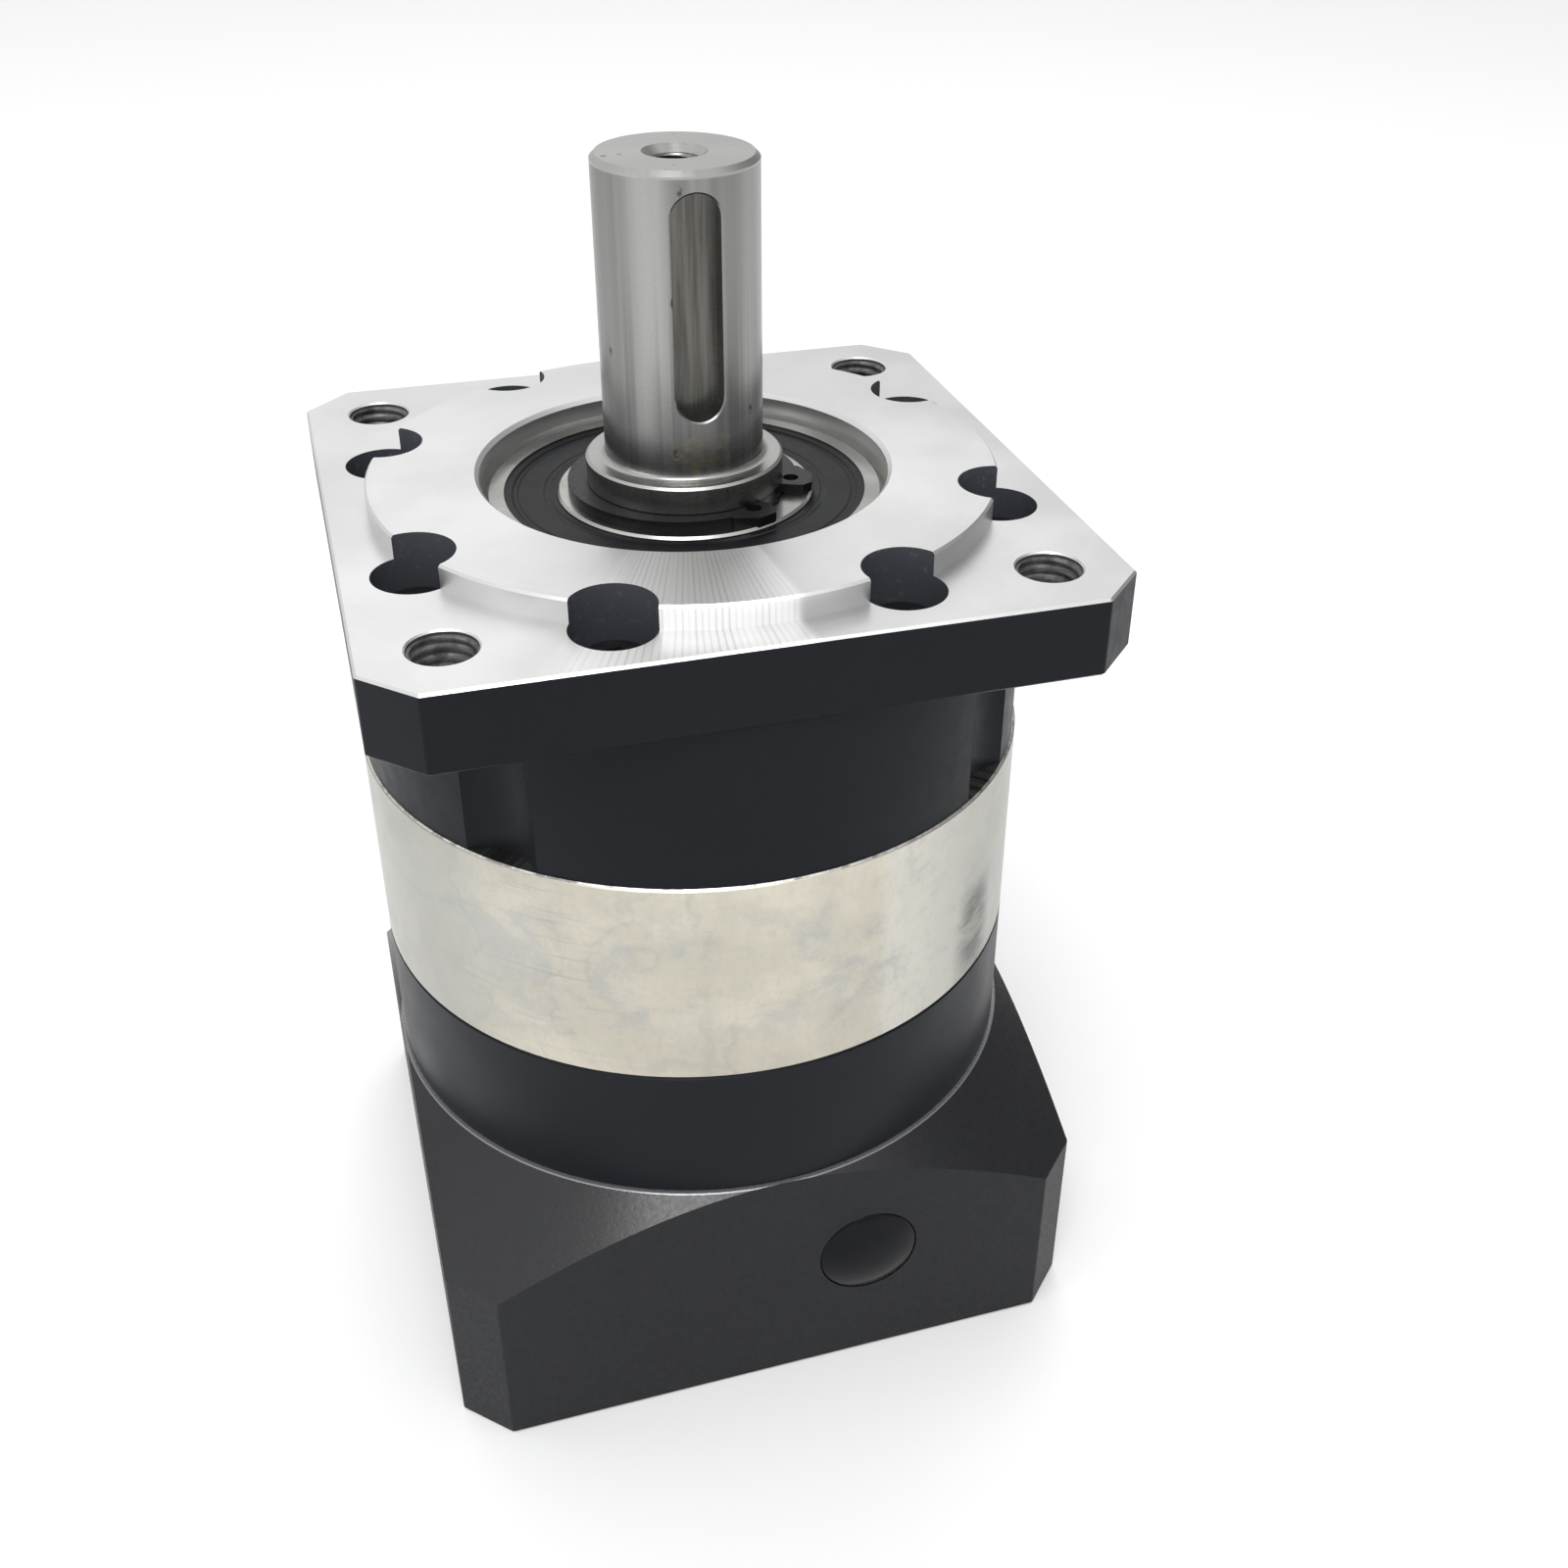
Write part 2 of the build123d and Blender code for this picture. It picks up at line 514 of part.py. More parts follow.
def input_housing():
    """The round rear housing that carries the input bearing."""
    bearing_top = INPUT_BEARING["z"] + INPUT_BEARING["width"]
    bore_r = INPUT_BEARING["outer_r"]
    groove_r = HOUSING_SNAP["groove_r"]
    groove_bottom = INPUT_BEARING["z"] - HOUSING_SNAP["thickness"] - GROOVE_PLAY
    nose_bottom = ADAPTER_TOP - NOSE_LENGTH
    housing = turned(
        (bore_r, nose_bottom),
        (ADAPTER_CAVITY_R, nose_bottom),
        (ADAPTER_CAVITY_R, ADAPTER_TOP),
        (BODY_R - EDGE_BREAK, ADAPTER_TOP),
        (BODY_R, ADAPTER_TOP + EDGE_BREAK),
        (BODY_R, RING_BOTTOM - EDGE_BREAK),
        (BODY_R - EDGE_BREAK, RING_BOTTOM),
        (REGISTER_R, RING_BOTTOM),
        (REGISTER_R, RING_BOTTOM + REGISTER_DEPTH),
        (SPIGOT_BORE_R, RING_BOTTOM + REGISTER_DEPTH),
        (SPIGOT_BORE_R, RING_BOTTOM),
        (bore_r - BEARING_SHOULDER, RING_BOTTOM),
        (bore_r - BEARING_SHOULDER, bearing_top),
        (bore_r, bearing_top),
        (bore_r, INPUT_BEARING["z"]),
        (groove_r, INPUT_BEARING["z"]),
        (groove_r, groove_bottom),
        (bore_r, groove_bottom),
    )
    housing -= oring_groove(RING_BOTTOM + REGISTER_DEPTH / 2)
    counterbore = rod(REAR_COUNTERBORE_R, ADAPTER_TOP, REAR_SCREW_SEAT, x=REAR_SCREW_CIRCLE_R)
    clearance = rod(M5_CLEARANCE_R, REAR_SCREW_SEAT, RING_BOTTOM, x=REAR_SCREW_CIRCLE_R)
    thread_top = ADAPTER_SCREW_SEAT + ADAPTER_SCREW_LENGTH
    tapped = rod(M5_R, ADAPTER_TOP, thread_top, x=ADAPTER_SCREW_CIRCLE_R)
    housing -= around(counterbore, flange_screw_angles())
    housing -= around(clearance, flange_screw_angles())
    housing -= around(tapped, adapter_screw_angles())
    return housing


def motor_adapter():
    """The square block that takes the motor, turned to a cone towards the round body."""
    half = FRAME_SIZE / 2
    block = chamfered_square(0, ADAPTER_TOP)
    block = chamfer(block.faces().sort_by(Axis.Z)[0].edges(), EDGE_BREAK)
    corner_r = math.hypot(half, half - CORNER_CUT)
    slope = (ADAPTER_TOP - CONE_FOOT_Z) / (corner_r - CONE_TOP_R)
    cone = turned(
        (0, 0),
        (corner_r + MARGIN, 0),
        (corner_r + MARGIN, CONE_FOOT_Z - MARGIN * slope),
        (CONE_TOP_R, ADAPTER_TOP),
        (0, ADAPTER_TOP),
    )
    block = block & cone
    block -= rod(MOTOR_REGISTER_R, 0, MOTOR_REGISTER_DEPTH)
    block -= rod(ADAPTER_CAVITY_R, MOTOR_REGISTER_DEPTH, ADAPTER_TOP)
    for x in (-MOTOR_BOLT_SPACING / 2, MOTOR_BOLT_SPACING / 2):
        for y in (-MOTOR_BOLT_SPACING / 2, MOTOR_BOLT_SPACING / 2):
            block -= rod(M5_R, 0, MOTOR_BOLT_DEPTH, x, y)
    counterbore = rod(REAR_COUNTERBORE_R, MOTOR_REGISTER_DEPTH, ADAPTER_SCREW_SEAT,
                      x=ADAPTER_SCREW_CIRCLE_R)
    clearance = rod(M5_CLEARANCE_R, ADAPTER_SCREW_SEAT, ADAPTER_TOP, x=ADAPTER_SCREW_CIRCLE_R)
    block -= around(counterbore, adapter_screw_angles())
    block -= around(clearance, adapter_screw_angles())
    inward = Pos(PLUG_X, FACE_Y, PLUG_Z) * Rot(-90, 0, 0)
    block -= inward * Cylinder(PLUG_HOLE_R, PLUG_LENGTH, align=UP)
    block -= inward * Cylinder(KEY_HOLE_R, -FACE_Y - ADAPTER_CAVITY_R + MARGIN, align=UP)
    return block


def access_plug():
    """The push-in plug over the clamp screw: a domed button, hollow inside."""
    reach = PLUG_R - PLUG_FLAT_R
    dome_r = (reach ** 2 + PLUG_DOME ** 2) / (2 * PLUG_DOME)
    dome_z = dome_r - PLUG_CROWN
    rim_reach = reach - PLUG_ROUNDING
    rim_z = dome_z - math.sqrt((dome_r - PLUG_ROUNDING) ** 2 - rim_reach ** 2)
    share = dome_r / (dome_r - PLUG_ROUNDING)
    meeting = (PLUG_FLAT_R + rim_reach * share, dome_z + (rim_z - dome_z) * share)
    dome = TangentArc((PLUG_FLAT_R, -PLUG_CROWN), meeting, tangent=(1, 0))
    rim = TangentArc(meeting, (PLUG_R, rim_z), tangent=dome % 1)
    inner_r = PLUG_R - PLUG_WALL
    inner_z = PLUG_FACE - PLUG_CROWN
    inside = Polyline((PLUG_R, rim_z), (PLUG_R, PLUG_LENGTH), (inner_r, PLUG_LENGTH), (inner_r, inner_z),
                      (0, inner_z), (0, -PLUG_CROWN), (PLUG_FLAT_R, -PLUG_CROWN))
    profile = make_face(Curve() + [dome, rim, inside])
    plug = revolve(Plane.XZ * profile, Axis.Z)
    return Pos(PLUG_X, FACE_Y, PLUG_Z) * Rot(-90, 0, 0) * plug


def oring_groove(middle):
    """The groove cut in a spigot for its o-ring."""
    low = middle - ORING_WIDTH / 2
    high = middle + ORING_WIDTH / 2
    return tube(REGISTER_R - ORING_DEPTH, REGISTER_R + MARGIN, low, high)


def oring(middle):
    """An o-ring as it lies squeezed in its groove."""
    low = middle - ORING_WIDTH / 2
    ring = tube(REGISTER_R - ORING_DEPTH, REGISTER_R, low, low + ORING_WIDTH)
    return fillet(ring.edges().filter_by(GeomType.CIRCLE), ORING_ROUNDING)


# ---------------------------------------------------------------- screws and snap rings
def socket_screw(length):
    """An M5 socket head cap screw, head up, with its seat at z = 0."""
    head = rod(M5_HEAD_R, 0, M5_HEAD_HEIGHT)
    head = chamfer(head.edges().sort_by(Axis.Z)[-1], M5_CHAMFER)
    shank = rod(M5_R, -length, 0)
    shank = chamfer(shank.edges().sort_by(Axis.Z)[0], M5_CHAMFER)
    hexagon = RegularPolygon(M5_SOCKET_FLATS / 2, 6, major_radius=False)
    socket = Pos(0, 0, M5_HEAD_HEIGHT - M5_SOCKET_DEPTH) * extrude(hexagon, M5_SOCKET_DEPTH)
    return head + shank - socket


def screw_group(length, radius, seat, angles, head_up):
    """One ring of identical screws."""
    screw = socket_screw(length)
    if not head_up:
        screw = Rot(180, 0, 0) * screw
    screw = Pos(radius, 0, seat) * screw
    return Compound(around(screw, angles))


def snap_ring_gap(groove_r, half_angle):
    """The wedge that opens a snap ring, on the X axis."""
    reach = 3 * groove_r
    return make_face(Polyline((0, 0), polar(reach, -half_angle), polar(reach, half_angle), close=True))


def shaft_lug(snap, side):
    """One lug of a snap ring for a shaft, with flat sides and a cut corner; side is 1 or -1."""
    inner = snap["groove_r"]
    outer = inner + snap["lug"]
    outline = [
        (inner, -LUG_WIDTH),
        (outer - 1.0, -LUG_WIDTH),
        (outer, 1.0 - LUG_WIDTH),
        (outer, LUG_WIDTH - 1.0),
        (inner + snap["narrow"], LUG_TAIL),
        (inner, LUG_TAIL),
    ]
    face = make_face(Polyline(*[(x, side * y) for x, y in outline], close=True))
    return Rot(0, 0, side * SHAFT_LUG_ANGLE) * face


def outside_snap_ring(snap, bottom, angle):
    """A snap ring for a shaft, widest opposite its gap, with a drilled lug at each end."""
    groove_r = snap["groove_r"]
    outer_r = groove_r + (snap["wide"] + snap["narrow"]) / 2
    shift = (snap["wide"] - snap["narrow"]) / 2
    blank = Pos(-shift, 0) * Circle(outer_r)
    blank += [shaft_lug(snap, side) for side in (-1, 1)]
    blank -= Circle(groove_r)
    blank -= snap_ring_gap(groove_r, SHAFT_GAP_ANGLE)
    for side in (-1, 1):
        x, y = polar(groove_r + LUG_HOLE_PLACE * snap["lug"], side * SHAFT_LUG_ANGLE)
        blank -= Pos(x, y) * Circle(LUG_HOLE_R)
    return Rot(0, 0, angle) * (Pos(0, 0, bottom) * extrude(blank, snap["thickness"]))


def inside_snap_ring(snap, bottom, angle):
    """A snap ring for a bore, widest opposite its gap, with a drilled lug at each end."""
    groove_r = snap["groove_r"]
    inner_r = groove_r - (snap["wide"] + snap["narrow"]) / 2
    shift = (snap["wide"] - snap["narrow"]) / 2
    lug_end_r = (snap["lug"] - LUG_HOLE_R) / 2
    lug_r = groove_r - snap["lug"] + lug_end_r
    blank = Circle(groove_r) - Pos(shift, 0) * Circle(inner_r)
    for side in (-1, 1):
        x, y = polar(lug_r, side * BORE_LUG_ANGLE)
        blank += Pos(x, y) * Circle(lug_end_r)
    blank -= snap_ring_gap(groove_r, BORE_GAP_ANGLE)
    for side in (-1, 1):
        x, y = polar(lug_r, side * BORE_LUG_ANGLE)
        blank -= Pos(x, y) * Circle(LUG_HOLE_R)
    return Rot(0, 0, angle) * (Pos(0, 0, bottom) * extrude(blank, snap["thickness"]))


# ---------------------------------------------------------------- ball bearings
def bearing_sizes(bearing):
    """Pitch radius, ball radius, ring shoulder radii and middle height of a bearing."""
    pitch_r = (bearing["bore_r"] + bearing["outer_r"]) / 2
    ball_r = bearing["ball_d"] / 2
    inner_shoulder = pitch_r - RACE_SHOULDER * ball_r
    outer_shoulder = pitch_r + RACE_SHOULDER * ball_r
    middle = bearing["z"] + bearing["width"] / 2
    return pitch_r, ball_r, inner_shoulder, outer_shoulder, middle


def race_groove(bearing):
    """The torus that cuts the ball track into both rings."""
    pitch_r, ball_r, _, _, middle = bearing_sizes(bearing)
    return Pos(0, 0, middle) * Torus(pitch_r, ball_r + RUNNING_GAP)


def seal_seat_r(bearing):
    """The outer radius of the seals."""
    outer_shoulder = bearing_sizes(bearing)[3]
    return outer_shoulder + SEAL_SEAT * (bearing["outer_r"] - outer_shoulder)


def bearing_outer_ring(bearing):
    """The outer race, stepped at both ends for the seals."""
    low = bearing["z"]
    high = low + bearing["width"]
    outer_r = bearing["outer_r"]
    corner = bearing["corner"]
    shoulder = bearing_sizes(bearing)[3]
    step = SEAL_RECESS + SEAL_THICKNESS
    seat_r = seal_seat_r(bearing)
    ring = turned(
        (seat_r, low),
        (outer_r - corner, low),
        (outer_r, low + corner),
        (outer_r, high - corner),
        (outer_r - corner, high),
        (seat_r, high),
        (seat_r, high - step),
        (shoulder, high - step),
        (shoulder, low + step),
        (seat_r, low + step),
    )
    return ring - race_groove(bearing)


def bearing_inner_ring(bearing):
    """The inner race."""
    low = bearing["z"]
    high = low + bearing["width"]
    bore_r = bearing["bore_r"]
    corner = bearing["corner"] / 2
    shoulder = bearing_sizes(bearing)[2]
    ring = turned(
        (bore_r + corner, low),
        (shoulder - EDGE_BREAK, low),
        (shoulder, low + EDGE_BREAK),
        (shoulder, high - EDGE_BREAK),
        (shoulder - EDGE_BREAK, high),
        (bore_r + corner, high),
        (bore_r, high - corner),
        (bore_r, low + corner),
    )
    return ring - race_groove(bearing)


def bearing_balls(bearing):
    """The ring of balls."""
    pitch_r, ball_r, _, _, middle = bearing_sizes(bearing)
    ball = Pos(pitch_r, 0, middle) * Sphere(ball_r)
    return Compound(around(ball, [360.0 / bearing["balls"] * index for index in range(bearing["balls"])]))


def bearing_cage(bearing):
    """The cage that spaces the balls, one ring with round pockets."""
    pitch_r, ball_r, inner_shoulder, outer_shoulder, middle = bearing_sizes(bearing)
    half_wall = (outer_shoulder - inner_shoulder) * CAGE_HALF_WALL
    half_height = ball_r + CAGE_RIM
    cage = tube(pitch_r - half_wall, pitch_r + half_wall, middle - half_height, middle + half_height)
    pocket = Pos(pitch_r, 0, middle) * Rot(0, 90, 0) * Cylinder(ball_r + POCKET_CLEARANCE, 4 * half_wall)
    pockets = around(pocket, [360.0 / bearing["balls"] * index for index in range(bearing["balls"])])
    return cage - pockets


def bearing_seals(bearing):
    """The two rubber seals: an outer bead, a flat band and a lip, with a moulded groove each side."""
    inner_r = bearing_sizes(bearing)[2] + SEAL_GAP
    outer_r = seal_seat_r(bearing)
    width = outer_r - inner_r
    face = SEAL_THICKNESS
    groove = face - SEAL_GROOVE
    band = face - SEAL_GROOVE / 2
    profile = [(1.0, face), (0.86, face), (0.82, groove), (0.76, groove), (0.72, band), (0.26, band),
               (0.22, groove), (0.16, groove), (0.12, band), (0.0, groove)]
    outline = [(inner_r + share * width, height) for share, height in profile]
    seal = turned((inner_r, 0), (outer_r, 0), *outline)
    top = Pos(0, 0, bearing["z"] + bearing["width"] - SEAL_RECESS - SEAL_THICKNESS) * seal
    bottom = Pos(0, 0, bearing["z"] + SEAL_RECESS + SEAL_THICKNESS) * Rot(180, 0, 0) * seal
    return Compound([bottom, top])


# ---------------------------------------------------------------- the assembly
def make_parts():
    """Every separate piece of the reducer, by node name."""
    parts = {
        "output_housing": output_housing(),
        "ring_gear": ring_gear(),
        "input_housing": input_housing(),
        "motor_adapter": motor_adapter(),
        "access_plug": access_plug(),
        "front_oring": oring(RING_TOP - REGISTER_DEPTH / 2),
        "rear_oring": oring(RING_BOTTOM + REGISTER_DEPTH / 2),
        "output_shaft": output_shaft(),
        "sun_gear_shaft": sun_gear_shaft(),
        "clamp_ring": clamp_ring(),
        "clamp_screw": clamp_screw(),
    }
    for name, bearing in (("front", FRONT_BEARING), ("rear", REAR_BEARING), ("input", INPUT_BEARING)):
        parts[name + "_bearing_outer_ring"] = bearing_outer_ring(bearing)
        parts[name + "_bearing_inner_ring"] = bearing_inner_ring(bearing)
        parts[name + "_bearing_balls"] = bearing_balls(bearing)
        parts[name + "_bearing_cage"] = bearing_cage(bearing)
        parts[name + "_bearing_seals"] = bearing_seals(bearing)
    for number, angle in enumerate(PLANET_ANGLES, start=1):
        parts[f"planet_gear_{number}"] = planet_gear(angle)
        parts[f"needle_rollers_{number}"] = needle_rollers(angle)
        parts[f"thrust_washers_{number}"] = thrust_washers(angle)
        parts[f"planet_pin_{number}"] = planet_pin(angle)
    input_z = INPUT_BEARING["z"]
    parts["output_snap_ring"] = outside_snap_ring(OUTPUT_SNAP, FLANGE_FACE, OUTPUT_SNAP_ANGLE)
    parts["input_shaft_snap_ring"] = outside_snap_ring(
        INPUT_SNAP, input_z - INPUT_SNAP["thickness"], 0.0)
    parts["input_housing_snap_ring"] = inside_snap_ring(
        HOUSING_SNAP, input_z - HOUSING_SNAP["thickness"], 180.0)
    parts["output_housing_screws"] = screw_group(
        FLANGE_SCREW_LENGTH, FLANGE_SCREW_CIRCLE_R, FLANGE_SCREW_SEAT, flange_screw_angles(), True)
    parts["input_housing_screws"] = screw_group(
        REAR_SCREW_LENGTH, REAR_SCREW_CIRCLE_R, REAR_SCREW_SEAT, flange_screw_angles(), False)
    parts["adapter_screws"] = screw_group(
        ADAPTER_SCREW_LENGTH, ADAPTER_SCREW_CIRCLE_R, ADAPTER_SCREW_SEAT, adapter_screw_angles(), False)
    return parts


os.makedirs("parts", exist_ok=True)
for node, shape in make_parts().items():
    export_step(shape, f"parts/{node}.step")
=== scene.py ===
import json
import math

import bpy
from mathutils import Matrix, Quaternion, Vector


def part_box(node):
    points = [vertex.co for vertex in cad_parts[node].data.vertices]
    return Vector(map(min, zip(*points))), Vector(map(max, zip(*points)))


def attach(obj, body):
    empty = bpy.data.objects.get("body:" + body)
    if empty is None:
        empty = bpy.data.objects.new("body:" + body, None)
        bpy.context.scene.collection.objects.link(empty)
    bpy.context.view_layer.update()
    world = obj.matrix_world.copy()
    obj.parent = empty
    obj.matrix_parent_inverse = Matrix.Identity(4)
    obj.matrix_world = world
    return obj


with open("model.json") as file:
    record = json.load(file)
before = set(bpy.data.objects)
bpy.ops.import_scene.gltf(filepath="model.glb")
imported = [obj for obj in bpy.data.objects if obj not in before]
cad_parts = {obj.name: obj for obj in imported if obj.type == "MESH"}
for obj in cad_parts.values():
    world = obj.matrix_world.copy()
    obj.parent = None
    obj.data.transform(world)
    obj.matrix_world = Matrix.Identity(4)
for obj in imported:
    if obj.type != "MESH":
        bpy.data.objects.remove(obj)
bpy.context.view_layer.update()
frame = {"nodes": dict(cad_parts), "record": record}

# The looks of the inline gear reducer: materials for every CAD node, threads in its tapped
# holes, a pale floor, soft studio light and the camera. Metres, in the row's own frame.

MM = 0.001

# Places read from the frame
FLANGE_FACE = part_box("front_bearing_outer_ring")[1].z
RING_LOW, RING_HIGH = (corner.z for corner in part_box("ring_gear"))
ADAPTER_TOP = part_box("motor_adapter")[1].z
SHAFT_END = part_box("output_shaft")[1].z
BEARING_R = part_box("front_bearing_outer_ring")[1].x
HALF_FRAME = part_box("output_housing")[1].x

# Where a finish changes on a part
FACE_EDGE = 0.32 * MM                     # how far a machined face's tone reaches round its edge
FACING_UP = 0.3                           # a normal's z, over which a surface faces upwards
PILOT_R = 40.0 * MM
CORNER_SUM = 2 * HALF_FRAME - 6.0 * MM    # |x| + |y| on the cut corners
HOLE_DEPTH = 9.0 * MM                     # of the flange's holes, below its face
HIGHLIGHT_RIM_WIDTH = 0.12 * MM                     # the thin painted highlight rim where the adapter's cone begins
COLLAR_TOP = 5.2 * MM                     # above the flange face
END_CHAMFER = 0.9 * MM
KEYWAY_HALF_WIDTH = 3.1 * MM
KEYWAY_RADIUS = 9.72 * MM                 # everything nearer the axis is in the keyway
KEYWAY_TOP = 2.3 * MM                     # below the shaft's end
KEYWAY_BOTTOM = 29.7 * MM
RUST_HALF_WIDTH = 3.6 * MM

# Where the marks are: angles in degrees about the axis, from X towards Y
FAN_LEFT = -117.0            # where the flange's painted highlight fan, with its cutter marks, begins
FAN_RIGHT = -84.0
FAN_LINES = 340.0            # cutter marks in a whole turn
DARK_REFLECTION_ANGLE = 44.0          # the painted dark reflection on the ring gear, counted the other way
DARK_REFLECTION_HEIGHT = 6.5 * MM     # above the ring's lower edge
CLOUD_HEIGHT = 16.0 * MM     # where the ring's stains are thickest
LONG_VEIN_ANGLE = 98.5       # counted the other way
LONG_VEIN_STOP = 6.0 * MM    # below the ring's upper edge
RING_FRONT_ANGLE = 98.0      # the middle of the ring's front, where its painted shade is weakest, counted the other way
PAINTED_SHEEN_ANGLE = 122.0          # the painted highlight band on the shaft, counted the other way

# Thread sleeves
THREAD_STEPS = 40                         # points round a sleeve
THREAD_ROWS = 10                          # rows of faces in one pitch
THREAD_DEPTH = 0.30                       # of the pitch, from the hole's wall to the crest
THREAD_GAP = 0.01 * MM                    # between the sleeve and the hole
THREAD_WALL = 0.03 * MM
FLANGE_THREAD_PITCH = 1.25 * MM
FLANGE_THREAD_LENGTH = 9.35 * MM
FLANGE_THREAD_LOW = FLANGE_FACE - 9.9 * MM
MOTOR_THREAD_PITCH = 0.8 * MM
MOTOR_THREAD_LENGTH = 14.0 * MM
MOTOR_THREAD_LOW = 0.1 * MM
SHAFT_THREAD_PITCH = 1.0 * MM
SHAFT_THREAD_LENGTH = 14.5 * MM
SHAFT_THREAD_LOW = SHAFT_END - 15.5 * MM

# The studio
FLOOR_HALF = 6.0
FLOOR_HEIGHT = -0.05 * MM
LIT_POINT = (0.0, 0.0, 0.09)
CAMERA_PLACE = (-0.0468, -0.2035, 0.2087)
CAMERA_AIM = (0.0108, -0.0243, 0.0880)
CAMERA_ROLL = 0.82                        # degrees
CAMERA_SENSOR = 36.0                      # width, in camera millimetres
CAMERA_LENS = 39.94
CAMERA_SHIFT = (-0.0223, -0.0101)
SKY_HORIZON = 0.56                        # strength of the surround at the horizon
SKY_RISE = 0.85                           # what it gains upwards
SKY_BEHIND = 0.26                         # what it gains behind the object
SOFTBOXES = (                             # name, direction, distance, side, radiance
    ("overhead_back", (0.186, 0.45, 0.87), 1.1, 0.45, 2.6),
    ("overhead_front", (-0.17, -0.48, 0.866), 1.1, 0.50, 6.3),
    ("left_box", (-0.9, -0.25, 0.25), 1.0, 0.55, 1.2),
)

MOUNTS = {mount["name"]: mount for mount in frame["record"]["mounts"]}


def mount_radius(name):
    """The hole or shaft radius of a mount, in metres."""
    dims = MOUNTS[name]["dims"]
    return dims.get("r_mm", dims.get("hole_r_mm")) * MM


# ---------------------------------------------------------------- shader graphs
class Graph:
    """Short names for the nodes of one shader tree."""

    def __init__(self, tree, place):
        self.tree = tree
        self.place = place

    def wire(self, value, socket):
        """Feeds a socket from another socket, or sets it to a constant."""
        if isinstance(value, bpy.types.NodeSocket):
            self.tree.links.new(value, socket)
        else:
            socket.default_value = value

    def math(self, operation, *values):
        """One arithmetic step."""
        node = self.tree.nodes.new("ShaderNodeMath")
        node.operation = operation
        for socket, value in zip(node.inputs, values):
            self.wire(value, socket)
        return node.outputs[0]

    def add(self, first, second):
        """The sum of two numbers."""
        return self.math("ADD", first, second)

    def times(self, *values):
        """The product of several numbers."""
        result = values[0]
        for value in values[1:]:
            result = self.math("MULTIPLY", result, value)
        return result

    def above(self, value, limit):
        """1 where a value is over a limit, and 0 elsewhere."""
        return self.math("GREATER_THAN", value, limit)

    def below(self, value, limit):
        """1 where a value is under a limit, and 0 elsewhere."""
        return self.math("LESS_THAN", value, limit)

    def near(self, value, centre, width):
        """1 where a value is within a width of a centre, and 0 elsewhere."""
        return self.below(self.math("ABSOLUTE", self.math("SUBTRACT", value, centre)), width)

    def either(self, *shares):
        """The largest of several shares."""
        result = shares[0]
        for share in shares[1:]:
            result = self.math("MAXIMUM", result, share)
        return result

    def split(self, vector):
        """The x, y and z of a vector."""
        node = self.tree.nodes.new("ShaderNodeSeparateXYZ")
        self.wire(vector, node.inputs[0])
        return node.outputs[0], node.outputs[1], node.outputs[2]

    def join(self, x, y, z):
        """A vector from three numbers."""
        node = self.tree.nodes.new("ShaderNodeCombineXYZ")
        for socket, value in zip(node.inputs, (x, y, z)):
            self.wire(value, socket)
        return node.outputs[0]

    def noise(self, scale, detail=3.0, roughness=0.55, vector=None, distortion=0.0):
        """Fractal noise from 0 to 1; scale is in cycles per metre."""
        node = self.tree.nodes.new("ShaderNodeTexNoise")
        self.wire(self.place if vector is None else vector, node.inputs["Vector"])
        node.inputs["Scale"].default_value = scale
        node.inputs["Detail"].default_value = detail
        node.inputs["Roughness"].default_value = roughness
        node.inputs["Distortion"].default_value = distortion
        return node.outputs["Fac"]

    def cells(self, scale, feature="F1", vector=None):
        """The distance to the nearest of many scattered points, or to the edges between them."""
        node = self.tree.nodes.new("ShaderNodeTexVoronoi")
        node.feature = feature
        self.wire(self.place if vector is None else vector, node.inputs["Vector"])
        node.inputs["Scale"].default_value = scale
        return node.outputs["Distance"]

    def ramp(self, value, low, high, start=0.0, end=1.0):
        """A smooth change from start to end as the value goes from low to high."""
        node = self.tree.nodes.new("ShaderNodeMapRange")
        node.interpolation_type = "SMOOTHSTEP"
        for socket, number in zip(node.inputs, (value, low, high, start, end)):
            self.wire(number, socket)
        return node.outputs[0]

    def blend(self, share, first, second):
        """A colour between two, by a share from 0 to 1."""
        node = self.tree.nodes.new("ShaderNodeMix")
        node.data_type = "RGBA"
        self.wire(share, node.inputs["Factor"])
        for socket, value in zip((node.inputs[6], node.inputs[7]), (first, second)):
            self.wire(value if isinstance(value, bpy.types.NodeSocket) else (*value, 1.0), socket)
        return node.outputs[2]

    def between(self, share, first, second):
        """A number between two, by a share from 0 to 1."""
        node = self.tree.nodes.new("ShaderNodeMix")
        self.wire(share, node.inputs["Factor"])
        self.wire(first, node.inputs[2])
        self.wire(second, node.inputs[3])
        return node.outputs[0]

    def bump(self, height, depth, strength=1.0, base=None):
        """A bumped normal; depth is the height in metres of a value of 1."""
        node = self.tree.nodes.new("ShaderNodeBump")
        node.inputs["Distance"].default_value = depth
        self.wire(strength, node.inputs["Strength"])
        self.wire(height, node.inputs["Height"])
        if base is not None:
            self.wire(base, node.inputs["Normal"])
        return node.outputs[0]

    def radius(self):
        """The distance from the shaft's axis."""
        x, y, _ = self.split(self.place)
        return self.math("SQRT", self.add(self.times(x, x), self.times(y, y)))

    def angle(self):
        """The angle about the shaft's axis, in radians."""
        x, y, _ = self.split(self.place)
        return self.math("ARCTAN2", y, x)

    def turn(self):
        """The angle about the shaft's axis, in degrees."""
        return self.math("DEGREES", self.angle())

    def turning_marks(self, pitch):
        """Grooves that a lathe leaves, round the axis on faces and on walls, from 0 to 1."""
        _, _, z = self.split(self.place)
        across = self.times(self.add(self.radius(), z), 1.0 / pitch)
        return self.noise(1.0, detail=2.0, roughness=0.7, vector=self.join(across, 0.0, 0.0))

